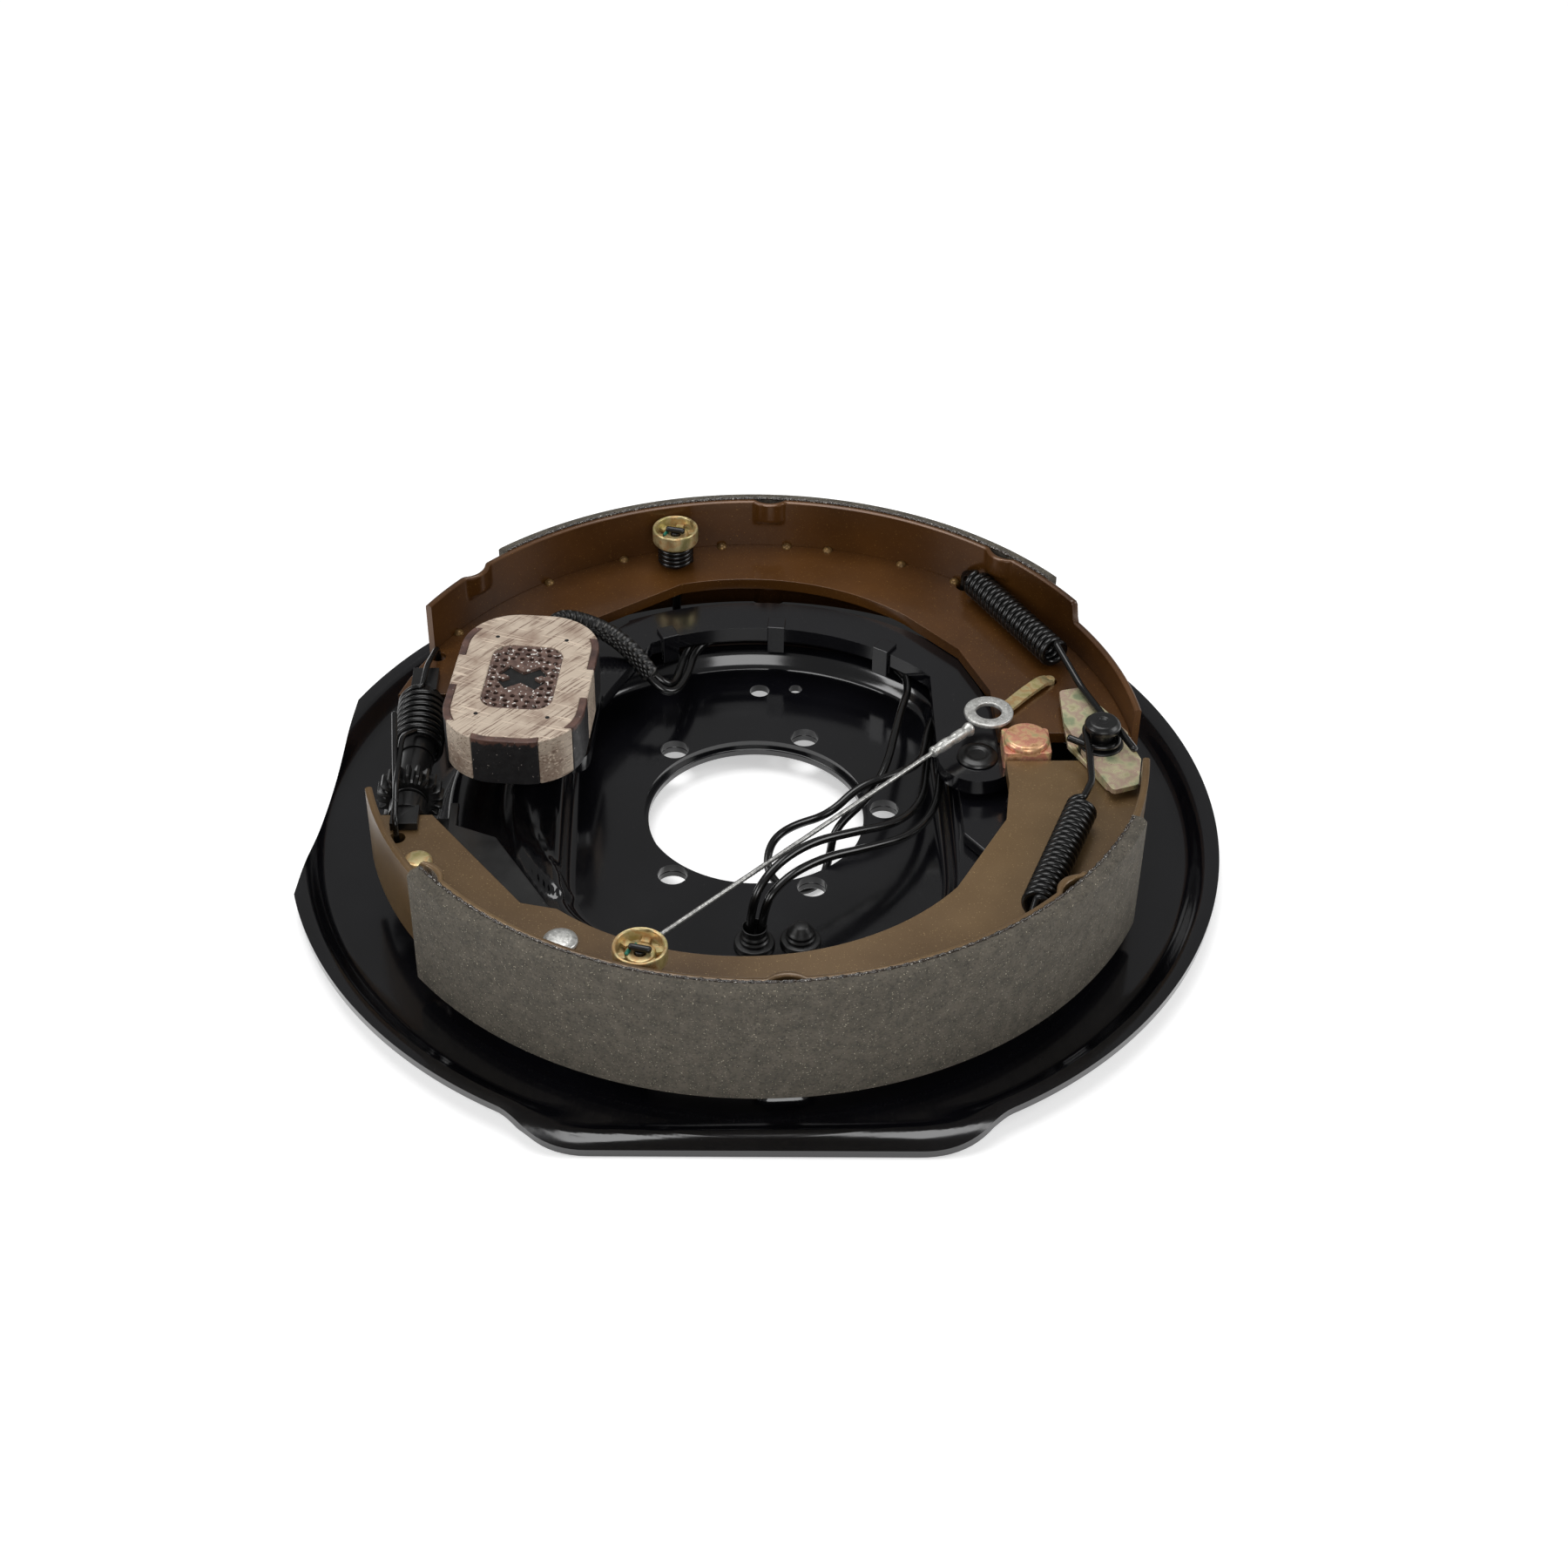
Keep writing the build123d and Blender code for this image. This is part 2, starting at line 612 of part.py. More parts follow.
cable_ferrule -= disc(*eyelet_place, 0, 99, eyelet_radius)
cable_ferrule -= ferrule_place * (Pos(0, 0, ferrule_length) * Cylinder(cable_radius + 0.15, 8))
cable_start = tuple((ferrule_place * Pos(0, 0, ferrule_length - 3.5)).position)
adjuster_cable = bar([cable_start, cable_end, (-50.0, -103.5, 32.9)], 2 * cable_radius)

# Lever that turns the star wheel, under the secondary web
pawl_thickness = 2.5
pawl_top = web_bottom - 3.0
pawl_face = make_face(
    Polyline(
        (-38.0, -103.0), (-44.0, -97.5), (-66.0, -92.0), (-96.0, -38.0), (-111.0, -31.0), (-111.0, -18.0),
        (-114.3, -18.0), (-114.3, -52.0), (-84.0, -108.0), (-70.0, -114.0), (-50.0, -111.0), close=True,
    )
)
adjuster_lever = Pos(0, 0, pawl_top - pawl_thickness) * extrude(pawl_face, amount=pawl_thickness)
finger_top = axis_z - star_radius - 0.7
adjuster_lever += block(-114.3, -111.8, -27.0, -18.0, finger_top - 2.2, pawl_top)
adjuster_lever += block(-124.0, -111.8, -27.0, -18.0, finger_top - 2.2, finger_top)
adjuster_lever -= disc(*pawl_pivot, 0, 99, pawl_rivet_radius + pivot_clearance)
pawl_rivet = disc(*pawl_pivot, pawl_top - pawl_thickness - 0.4, web_top + 0.2, pawl_rivet_radius)
pawl_rivet += disc(*pawl_pivot, web_top, web_top + 2.6, 6.3)
pawl_rivet += disc(*pawl_pivot, pawl_top - pawl_thickness - 2.0, pawl_top - pawl_thickness - 0.3, 5.0)
pawl_rivet += disc(*pawl_pivot, pawl_top + 0.3, web_bottom, 5.0)
stop_rivet = disc(*stop_place, web_bottom - 2.0, web_top + 0.5, pawl_rivet_radius)
stop_rivet += disc(*stop_place, web_top, web_top + 3.2, 5.2)
stop_rivet += disc(*stop_place, web_bottom - 2.2, web_bottom, 5.2)

# Magnet lever
px, py = lever_pivot
arm_start, arm_end = 38.0, 118.0
arm_face = Pos(px, py) * Circle(lever_disc_radius)
band = make_face(
    [
        CenterArc((0, 0), arm_outer_radius, arm_start, arm_end - arm_start),
        CenterArc((0, 0), arm_inner_radius, arm_start, arm_end - arm_start),
        Line(polar(arm_inner_radius, arm_start), polar(arm_outer_radius, arm_start)),
        Line(polar(arm_inner_radius, arm_end), polar(arm_outer_radius, arm_end)),
    ]
)
arm_face += band
arm_face += make_face(
    Polyline(
        polar(arm_inner_radius, arm_start + 1), polar(arm_outer_radius, arm_start + 1),
        (px + lever_disc_radius - 1, py + 5), (px - lever_disc_radius, py - 1), close=True,
    )
)
mx, my = magnet_centre
end_plate = Pos(mx + 8, my + 8) * Rot(0, 0, magnet_tilt) * RectangleRounded(2 * 19.0, 2 * 26.0, 7.0)
arm_face += end_plate
arm_face += make_face(
    Polyline(
        polar(arm_inner_radius, arm_end - 1), polar(arm_outer_radius, arm_end - 1),
        (mx + 2, my + 33), (mx + 29.0, my + 22), close=True,
    )
)
arm_face += make_face(
    Polyline((px, py - 9), (px, py + 7.8), (block_centre[0] + 8, py + 7.0), (block_centre[0] + 8, py - 7.0), close=True)
)
lever_arm = Pos(0, 0, lever_bottom) * extrude(arm_face, amount=lever_thickness)
lever_arm -= disc(px, py, 0, 99, lever_bore_radius)
pin_radius = lever_bore_radius - pivot_clearance
stud_profile = make_face(
    Polyline(
        (0, ring_height), (stud_shank_radius, ring_height), (stud_shank_radius, anchor_plate_top),
        (10.0, anchor_plate_top), (10.0, lever_bottom - 0.4), (pin_radius, lever_bottom - 0.4),
        (pin_radius, lever_top + 0.3), (8.0, lever_top + 0.3), (4.5, lever_top + 2.0), (0, lever_top + 2.0),
        close=True,
    )
)
lever_pivot_stud = Pos(px, py, 0) * revolve(Plane.XZ * stud_profile, Axis.Z)
bx, by = block_centre
rivet_shank = 4.0
lever_block = block(
    bx - block_size[0] / 2, bx + block_size[0] / 2, by - block_size[1] / 2, by + block_size[1] / 2,
    lever_top, block_top,
)
lever_block = fillet(lever_block.edges().filter_by(Axis.Z), 1.5)
lever_block -= disc(bx, by, 0, 99, rivet_shank)
lever_arm -= disc(bx, by, 0, 99, rivet_shank)
block_rivet = disc(bx, by, lever_bottom, block_top + 0.5, rivet_shank)
block_rivet += Pos(bx, by, block_top) * Cone(
    block_rivet_radius, block_rivet_radius - 0.8, block_rivet_height, align=seated
)
clip_angles = (55.0, 84.0, 112.0)
wire_clips = Part()
for angle in clip_angles:
    clip = block(arm_inner_radius + 0.5, arm_inner_radius + 11.5, -3.5, 3.5, lever_bottom - 5.0, lever_bottom)
    clip -= block(arm_inner_radius + 2, arm_inner_radius + 10, -9, 9, lever_bottom - 3.8, lever_bottom)
    clip += block(arm_inner_radius - 1.5, arm_inner_radius - 0.1, -3.5, 3.5, lever_bottom - 5.0, lever_top + 1.5)
    clip += block(arm_inner_radius - 1.5, arm_inner_radius + 6, -3.5, 3.5, lever_top + 0.1, lever_top + 1.5)
    clip += block(arm_inner_radius - 1.5, arm_inner_radius + 3, -3.5, 3.5, lever_bottom - 5.0, lever_bottom - 3.8)
    wire_clips += Rot(0, 0, angle) * clip

# Magnet
magnet_frame = Pos(mx, my, 0) * Rot(0, 0, magnet_tilt)
outer_face = RectangleRounded(*magnet_size, magnet_corner)
window_face = RectangleRounded(*window_size, window_corner)
edge_band = outer_face - offset(outer_face, -channel_depth)
half_width, half_length = magnet_size[0] / 2, magnet_size[1] / 2
channel_boxes = (
    (-half_width, -17.0, -29.0, -7.0), (-half_width, -15.0, 12.0, 30.0), (17.0, half_width, 7.0, 27.0),
    (15.0, half_width, -30.0, -11.0), (-13.0, 12.0, -half_length, -33.0),
)
channels = Part()
for x0, x1, y0, y1 in channel_boxes:
    region = Pos((x0 + x1) / 2, (y0 + y1) / 2) * Rectangle(x1 - x0, y1 - y0)
    channels += Pos(0, 0, magnet_bottom) * extrude(edge_band & region, amount=magnet_height)
magnet_block = Pos(0, 0, magnet_bottom) * extrude(outer_face - window_face, amount=magnet_height)
winding_ring = offset(outer_face, -magnet_wall) - offset(outer_face, -magnet_wall - groove_width)
winding = Pos(0, 0, magnet_bottom) * extrude(winding_ring, amount=groove_depth)
magnet_body = magnet_frame * (magnet_block - channels - winding)
magnet_coil = magnet_frame * winding
magnet_potting = magnet_frame * channels
insert_face = offset(window_face, -0.1)
magnet_insert = Pos(0, 0, magnet_bottom) * extrude(insert_face, amount=magnet_height - 0.6)
for turn in (35, 145):
    magnet_insert -= Pos(0, 0, magnet_face - 4) * Rot(0, 0, turn) * Box(18.0, 5.5, 8.0)
magnet_insert -= disc(0, 0, 0, magnet_face - 4, stud_radius + 0.4)
magnet_insert = magnet_frame * magnet_insert
magnet_stud = disc(mx, my, lever_top, magnet_face - 8 - magnet_travel, stud_radius)
magnet_stud += disc(mx, my, lever_top, lever_top + 1.2, 8.0)
spring_room = magnet_bottom - lever_top
magnet_spring = Pos(mx, my, lever_top + 2.1) * coil(12.5, 1.2, (spring_room - 3.2) / 3, 3, end_radius=8.0)


# Leads: two insulated wires from the magnet, along the lever and out through the grommet
def cord(points, diameter):
    """Round tube of straight runs and tangent arcs through the points."""
    radii = []
    for before, here, after in zip(points, points[1:], points[2:]):
        first, second = Vector(*here) - Vector(*before), Vector(*after) - Vector(*here)
        half = math.radians(first.get_angle(second)) / 2
        radii.append(0.45 * min(first.length, second.length) / math.tan(half))
    path = FilletPolyline(*points, radius=radii)
    section = Plane(origin=path @ 0, z_dir=path % 0) * RegularPolygon(diameter / 2, 6)
    tube = sweep(section, path=path)
    print("cord length", round(path.length, 1), "radii", [round(r, 1) for r in radii])
    print("volume ratio", round(tube.volume / (path.length * section.area), 3))
    return tube


lead_a_points = [
    (-3.8, -76.7, 11.0), (-3.6, -76.5, 30.0), (3.0, -68.0, 40.0), (17.0, -54.0, 41.0), (34.0, -43.0, 37.0),
    (52.0, -30.0, 30.0), (63.0, -10.0, 24.5), (66.0, 14.0, 23.0), (70.0, 40.0, 24.5),
]
lead_b_points = [
    (0.2, -76.7, 11.0), (0.6, -76.4, 30.0), (9.0, -68.0, 37.0), (23.0, -56.0, 36.0), (40.0, -46.0, 32.0),
    (57.0, -33.0, 26.5), (68.0, -13.0, 23.0), (71.5, 12.0, 23.0), (75.0, 38.0, 24.5),
]
lead_wire_a = cord(lead_a_points, lead_diameter)
lead_wire_b = cord(lead_b_points, lead_diameter)
sleeve_exit = magnet_frame * Pos(3.0, magnet_size[1] / 2 + 0.8, 52.0)
sleeve_start = tuple(sleeve_exit.position)
sleeve_points = [
    sleeve_start, (-78.0, 76.0, 50.5), (-62.0, 79.0, 43.0), (-47.0, 69.5, 38.9), (-34.0, 60.0, 32.0),
]
lead_sleeve = cord(sleeve_points, 7.0)

pieces = {
    "backing_plate": backing_plate,
    "hub_ring": hub_ring,
    "adjusting_slot_plug": slot_plug,
    "lead_grommet": lead_grommet,
    "spare_grommet": spare_grommet,
    "anchor_plate": anchor_plate,
    "anchor_post": anchor_post,
    "guide_plate_lower": guide_plate_lower,
    "guide_plate_upper": guide_plate_upper,
    "lever_pivot_stud": lever_pivot_stud,
    "primary_table": primary_table,
    "primary_web": primary_web,
    "primary_lining": primary_lining,
    "secondary_table": secondary_table,
    "secondary_web": secondary_web,
    "secondary_lining": secondary_lining,
    "hold_down_pins": hold_down_pins,
    "hold_down_cups": hold_down_cups,
    "hold_down_springs": hold_down_springs,
    "primary_retractor_spring": primary_retractor_spring,
    "secondary_retractor_spring": secondary_retractor_spring,
    "adjuster_socket": adjuster_socket,
    "adjuster_nut": adjuster_nut,
    "star_wheel": star_wheel,
    "adjuster_spring": adjuster_spring,
    "cable_hook": cable_hook,
    "cable_eyelet": cable_eyelet,
    "cable_ferrule": cable_ferrule,
    "adjuster_cable": adjuster_cable,
    "adjuster_lever": adjuster_lever,
    "pawl_rivet": pawl_rivet,
    "stop_rivet": stop_rivet,
    "lever_arm": lever_arm,
    "lever_block": lever_block,
    "block_rivet": block_rivet,
    "wire_clips": wire_clips,
    "magnet_body": magnet_body,
    "magnet_insert": magnet_insert,
    "magnet_coil": magnet_coil,
    "magnet_potting": magnet_potting,
    "magnet_stud": magnet_stud,
    "magnet_spring": magnet_spring,
    "lead_wire_a": lead_wire_a,
    "lead_wire_b": lead_wire_b,
    "lead_sleeve": lead_sleeve,
}
for name, piece in pieces.items():
    export_step(Pos(0, 0, -mounting_face) * piece, f"parts/{name}.step")
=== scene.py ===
"""Dressed model of an electric trailer brake, lying on its backing plate with the drum side up.

Shapes are written in millimetres, with heights counted from the plane on which the plate's
outer ring rests, and become metres in the model's frame when they go into a mesh.
"""

from __future__ import annotations

import json
import logging
import math
from dataclasses import dataclass
from enum import Enum
from functools import partial
from typing import Optional, Sequence

import bmesh
import bpy
import numpy as np
from mathutils import Matrix, Vector

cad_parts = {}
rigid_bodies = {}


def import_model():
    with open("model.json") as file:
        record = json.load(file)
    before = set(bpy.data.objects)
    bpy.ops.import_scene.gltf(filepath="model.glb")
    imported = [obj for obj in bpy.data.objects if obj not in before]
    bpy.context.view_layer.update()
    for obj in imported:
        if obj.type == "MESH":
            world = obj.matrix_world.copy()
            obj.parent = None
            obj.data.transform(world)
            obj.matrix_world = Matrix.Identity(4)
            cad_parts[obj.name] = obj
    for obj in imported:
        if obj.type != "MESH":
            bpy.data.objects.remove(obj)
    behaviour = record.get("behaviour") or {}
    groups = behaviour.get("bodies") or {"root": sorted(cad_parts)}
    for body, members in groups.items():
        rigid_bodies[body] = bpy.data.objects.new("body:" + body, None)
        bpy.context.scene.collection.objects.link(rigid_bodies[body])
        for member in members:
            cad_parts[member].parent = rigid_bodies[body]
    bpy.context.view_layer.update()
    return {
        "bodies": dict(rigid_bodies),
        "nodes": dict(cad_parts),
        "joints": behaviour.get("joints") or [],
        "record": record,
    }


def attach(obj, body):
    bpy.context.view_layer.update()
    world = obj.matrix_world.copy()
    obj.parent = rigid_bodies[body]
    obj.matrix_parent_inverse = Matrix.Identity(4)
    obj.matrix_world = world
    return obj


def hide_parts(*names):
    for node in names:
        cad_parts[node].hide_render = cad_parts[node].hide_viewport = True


LOG = logging.getLogger("trailer_brake")
MOUNTING_HEIGHT = 6.5
TURN_POINTS = 26
DOME = np.radians([75.0, 50.0, 25.0])
Point = Sequence[float]
Colour = tuple[int, int, int]
Socket = bpy.types.NodeSocket


class Body(Enum):
    """The moving bodies of the model."""

    PLATE = "plate"
    MAGNET_LEVER = "magnet_lever"
    MAGNET = "magnet"
    PRIMARY_SHOE = "primary_shoe"
    SECONDARY_SHOE = "secondary_shoe"
    ADJUSTER_LEVER = "adjuster_lever"
    STAR_WHEEL = "star_wheel"
    ADJUSTER_NUT = "adjuster_nut"


def metres(points: np.ndarray) -> np.ndarray:
    """Turns millimetre points into metres in the model's frame.

    Args:
        points: Array of points in millimetres, heights from the plate's back.

    Returns:
        (p - (0, 0, mounting height)) / 1000.
    """
    return (np.asarray(points, float) - (0.0, 0.0, MOUNTING_HEIGHT)) / 1000.0


def ease(value: np.ndarray) -> np.ndarray:
    """Smooth step 3t² - 2t³ of a value held between 0 and 1."""
    held = np.clip(value, 0.0, 1.0)
    return held * held * (3.0 - 2.0 * held)


def polar(radius: float, degrees: float, height: float = 0.0) -> np.ndarray:
    """Point at a radius and an angle from +X, at a height."""
    angle = math.radians(degrees)
    return np.array([radius * math.cos(angle), radius * math.sin(angle), height])


def unit(vectors: np.ndarray) -> np.ndarray:
    """Vectors divided by their lengths along the last axis."""
    return vectors / np.maximum(np.linalg.norm(vectors, axis=-1, keepdims=True), 1e-9)


# Surfaces


@dataclass
class Surface:
    """Mesh data in millimetres.

    Attributes:
        points: Array of shape (n, 3).
        faces: Blocks of faces, each an integer array of shape (m, corners).
    """

    points: np.ndarray
    faces: list[np.ndarray]

    def placed(self, turn: np.ndarray, offset: Point) -> Surface:
        """The surface turned by a 3 x 3 matrix and moved: p' = M p + t."""
        return Surface(self.points @ np.asarray(turn).T + np.asarray(offset, float), self.faces)


def joined(surfaces: Sequence[Surface]) -> Surface:
    """Several surfaces as one, with the face numbers counted on."""
    starts = np.cumsum([0] + [len(surface.points) for surface in surfaces])
    faces = [block + start for surface, start in zip(surfaces, starts) for block in surface.faces]
    return Surface(np.vstack([surface.points for surface in surfaces]), faces)


def grid(points: np.ndarray, wrap_rows: bool = False, wrap_columns: bool = False, caps: bool = False) -> Surface:
    """Covers a grid of points with four-cornered faces.

    Args:
        points: Array of shape (rows, columns, 3), the surface p(row, column).
        wrap_rows: Joins the last row to the first.
        wrap_columns: Joins the last column to the first.
        caps: Closes the first and the last row with one face each.

    Returns:
        The surface.
    """
    rows, columns = points.shape[:2]
    index = np.arange(rows * columns).reshape(rows, columns)
    ring = index
    if wrap_rows:
        index = np.vstack([index, index[:1]])
    if wrap_columns:
        index = np.hstack([index, index[:, :1]])
    corners = (index[:-1, :-1], index[1:, :-1], index[1:, 1:], index[:-1, 1:])
    faces = [np.stack(corners, -1).reshape(-1, 4)]
    if caps:
        faces += [ring[:1, ::-1], ring[-1:]]
    return Surface(points.reshape(-1, 3), faces)


def rounded(vertices: np.ndarray, cut: np.ndarray | float, samples: int = 5,
            flats: Optional[Sequence[int]] = None) -> np.ndarray:
    """Rounds the inner corners of one polyline or of many at once.

    Each corner V becomes the arc (1-t)² A + 2t(1-t) V + t² B, where A and B lie the cut before
    and after it.

    Args:
        vertices: Array of shape (corners, ..., dimensions).
        cut: Distance of A and B from the corner, one value or one for each inner corner.
        samples: Points on each arc.
        flats: Points added on the straight run after each arc and before the first.

    Returns:
        Array of shape (points, ..., dimensions).
    """
    line = np.asarray(vertices, float)
    here = line[1:-1]
    back, onward = line[:-2] - here, line[2:] - here
    back_length = np.linalg.norm(back, axis=-1, keepdims=True)
    onward_length = np.linalg.norm(onward, axis=-1, keepdims=True)
    wanted = np.broadcast_to(np.asarray(cut, float), (len(here),)).reshape(-1, *[1] * (here.ndim - 1))
    size = np.minimum(wanted, 0.48 * np.minimum(back_length, onward_length))
    start = here + back / back_length * size
    end = here + onward / onward_length * size
    t = np.linspace(0.0, 1.0, samples).reshape(-1, *[1] * here.ndim)
    arcs = np.moveaxis((1 - t) ** 2 * start + 2 * t * (1 - t) * here + t**2 * end, 0, 1)
    counts = flats if flats is not None else [0] * (len(here) + 1)
    stops = [line[0]] + [arc for arc in arcs] + [line[-1]]
    pieces = [line[:1]]
    for number, count in enumerate(counts):
        left = line[0] if number == 0 else arcs[number - 1][-1]
        right = line[-1] if number == len(here) else arcs[number][0]
        share = np.linspace(0.0, 1.0, count + 2)[1:-1].reshape(-1, *[1] * left.ndim)
        pieces.append(left + (right - left) * share)
        pieces.append(stops[number + 1] if number < len(here) else line[-1:])
    return np.concatenate(pieces)


def bent(points: Sequence[Point], bend: float = 2.0, step: float = 0.6) -> np.ndarray:
    """Path of a bent wire: the polyline resampled at even steps and averaged with a bell curve.

    Args:
        points: Corners of the route.
        bend: Width of the bell curve, which sets how round the corners are.
        step: Distance between the path's points.

    Returns:
        Array of shape (n, 3), with the same first and last point.
    """
    corners = np.asarray(points, float)
    run = np.concatenate([[0.0], np.cumsum(np.linalg.norm(np.diff(corners, axis=0), axis=1))])
    places = np.linspace(0.0, run[-1], max(int(run[-1] / step) + 2, 4))
    path = np.stack([np.interp(places, run, corners[:, axis]) for axis in range(3)], 1)
    half = min(int(3 * bend / step) + 1, len(path) - 1)
    bell = np.exp(-0.5 * (np.arange(-half, half + 1) * step / bend) ** 2)
    before = 2 * path[0] - path[half:0:-1]
    after = 2 * path[-1] - path[-2 : -half - 2 : -1]
    padded = np.vstack([before, path, after])
    return np.stack([np.convolve(padded[:, axis], bell / bell.sum(), "valid") for axis in range(3)], 1)


def helix(start: Point, end: Point, radius: float, turns: float,
          end_radius: Optional[float] = None) -> np.ndarray:
    """Helix from one point to another: c(s) = a + (b - a)s + R(s)(cos φ u + sin φ v), φ = 2π turns s.

    Args:
        start: Centre of the first turn.
        end: Centre of the last turn.
        radius: Radius of the wire's centre at the start.
        turns: Number of turns.
        end_radius: Radius at the end, if it isn't the same.

    Returns:
        Array of shape (n, 3).
    """
    a, b = np.asarray(start, float), np.asarray(end, float)
    axis = unit(b - a)
    helper = np.array([0.0, 0.0, 1.0]) if abs(axis[2]) < 0.8 else np.array([1.0, 0.0, 0.0])
    u = unit(helper - (helper @ axis) * axis)
    v = np.cross(axis, u)
    share = np.linspace(0.0, 1.0, int(turns * TURN_POINTS) + 1)[:, None]
    angle = 2 * math.pi * turns * share
    size = radius + ((end_radius if end_radius is not None else radius) - radius) * share
    return a + (b - a) * share + size * (np.cos(angle) * u + np.sin(angle) * v)


def tube(path: np.ndarray, radius: np.ndarray | float, sides: int = 12, lobes: int = 0, depth: float = 0.0,
         pitch: float = 10.0, flat: float = 1.0) -> Surface:
    """Carries a round section along a path: p(s, a) = c(s) + r(s, a)(cos a n(s) + flat sin a b(s)).

    The normals n don't twist: each is the one before it, turned with the path. With lobes, the
    radius is r (1 + depth cos(lobes (a - 2π s / pitch))), which is the look of twisted strands.
    Both ends are domed.

    Args:
        path: Centre points.
        radius: Radius of the section, one value or one for each point.
        sides: Points round the section.
        lobes: Number of strands.
        depth: Depth of the grooves between strands, as a share of the radius.
        pitch: Length of one twist of the strands.
        flat: Height of the section over its width.

    Returns:
        The closed surface.
    """
    line = np.asarray(path, float)
    size = np.broadcast_to(np.asarray(radius, float), (len(line),)).copy()
    lift, shrink = np.sin(DOME), np.cos(DOME)
    head = line[0] + unit(line[0] - line[1]) * (lift * size[0] * 0.6)[:, None]
    tail = line[-1] + unit(line[-1] - line[-2]) * (lift[::-1] * size[-1] * 0.6)[:, None]
    line = np.vstack([head, line, tail])
    size = np.concatenate([shrink * size[0], size, shrink[::-1] * size[-1]])
    tangent = unit(np.gradient(line, axis=0))
    reference = np.array([0.31, 0.47, 0.83])
    normal = unit(reference - (tangent @ reference)[:, None] * tangent)
    side = np.cross(tangent, normal)
    carried = normal[:-1] - np.sum(normal[:-1] * tangent[1:], 1, keepdims=True) * tangent[1:]
    step = np.arctan2(np.sum(carried * side[1:], 1), np.sum(carried * normal[1:], 1))
    turn = np.concatenate([[0.0], np.cumsum(step)])[:, None]
    n = np.cos(turn) * normal + np.sin(turn) * side
    b = -np.sin(turn) * normal + np.cos(turn) * side
    run = np.concatenate([[0.0], np.cumsum(np.linalg.norm(np.diff(line, axis=0), axis=1))])[:, None]
    angle = np.linspace(0.0, 2 * math.pi, sides, endpoint=False)[None, :]
    wave = 1.0 + depth * np.cos(lobes * (angle - 2 * math.pi * run / pitch))
    reach = (size[:, None] * wave)[..., None]
    across = np.cos(angle)[..., None] * n[:, None] + flat * np.sin(angle)[..., None] * b[:, None]
    points = line[:, None] + reach * across
    return grid(points, wrap_columns=True, caps=True)


def lathe(profile: Sequence[Sequence[float]], centre: Point = (0, 0, 0), axis: Point = (0, 0, 1),
          cut: float = 0.4, sides: int = 64, closed: bool = False) -> Surface:
    """Turned piece: p(s, a) = centre + r(s)(cos a u + sin a v) + h(s) w, with rounded corners.

    Args:
        profile: Corners (r, h); it starts and ends on the axis unless it is closed.
        centre: Point on the axis at height 0.
        axis: Direction of the axis.
        cut: How far from each corner its rounding starts.
        sides: Points round the axis.
        closed: True for a ring, whose profile returns to its start.

    Returns:
        The closed surface.
    """
    corners = np.asarray(profile, float)
    if closed:
        middle = (corners[0] + corners[-1]) / 2
        corners = np.vstack([middle, corners, middle])
    line = rounded(corners, cut, 4)
    if closed:
        line = line[:-1]
    w = unit(np.asarray(axis, float))
    helper = np.array([1.0, 0.0, 0.0]) if abs(w[0]) < 0.8 else np.array([0.0, 1.0, 0.0])
    u = unit(helper - (helper @ w) * w)
    v = np.cross(w, u)
    angle = np.linspace(0.0, 2 * math.pi, sides, endpoint=False)[None, :, None]
    ring = np.cos(angle) * u + np.sin(angle) * v
    points = np.asarray(centre, float) + line[:, :1, None] * ring + line[:, 1:, None] * w
    return grid(points, wrap_rows=closed, wrap_columns=True)


def strap(path: np.ndarray, width: float, thickness: float) -> Surface:
    """Flat strip along a path: p = c ± width / 2 · side ± thickness / 2 · up, the side staying level.

    Args:
        path: Centre points in millimetres.
        width: Width in millimetres.
        thickness: Thickness in millimetres.

    Returns:
        The closed strip.
    """
    along = unit(np.gradient(path, axis=0))
    side = unit(np.cross(along, (0.0, 0.0, 1.0))) * width / 2
    up = unit(np.cross(side, along)) * thickness / 2
    corners = [path + side + up, path - side + up, path - side - up, path + side - up]
    return grid(np.stack(corners, 1), wrap_columns=True, caps=True)


def box_surface(low: Point, high: Point) -> Surface:
    """Closed box between two corners."""
    a, b = np.asarray(low, float), np.asarray(high, float)
    pick = np.array([[0, 0, 0], [1, 0, 0], [1, 1, 0], [0, 1, 0], [0, 0, 1], [1, 0, 1], [1, 1, 1], [0, 1, 1]])
    faces = np.array([[3, 2, 1, 0], [4, 5, 6, 7], [0, 1, 5, 4], [1, 2, 6, 5], [2, 3, 7, 6], [3, 0, 4, 7]])
    return Surface(a + (b - a) * pick, [faces])


def prism(outline: np.ndarray, low: float, high: float) -> Surface:
    """Upright prism over a closed outline of shape (n, 2) between two heights."""
    rows = [np.column_stack([outline, np.full(len(outline), height)]) for height in (low, high)]
    return grid(np.stack(rows), wrap_columns=True, caps=True)


def turned_z(degrees: float) -> np.ndarray:
    """Matrix of a turn about +Z."""
    c, s = math.cos(math.radians(degrees)), math.sin(math.radians(degrees))
    return np.array([[c, -s, 0.0], [s, c, 0.0], [0.0, 0.0, 1.0]])


# Objects


def mesh_object(name: str, surface: Surface, sharp: float = 38.0) -> bpy.types.Object:
    """Makes an object at the origin from a surface, with closed seams and faces pointing out.

    Args:
        name: Name of the object.
        surface: Its mesh in millimetres.
        sharp: Angle in degrees above which an edge stays sharp.

    Returns:
        The object, linked to the scene.
    """
    mesh = bpy.data.meshes.new(name)
    faces = [face for block in surface.faces for face in block.tolist()]
    mesh.from_pydata(metres(surface.points), [], faces)
    tidy(mesh, sharp)
    made = bpy.data.objects.new(name, mesh)
    bpy.context.scene.collection.objects.link(made)
    return made


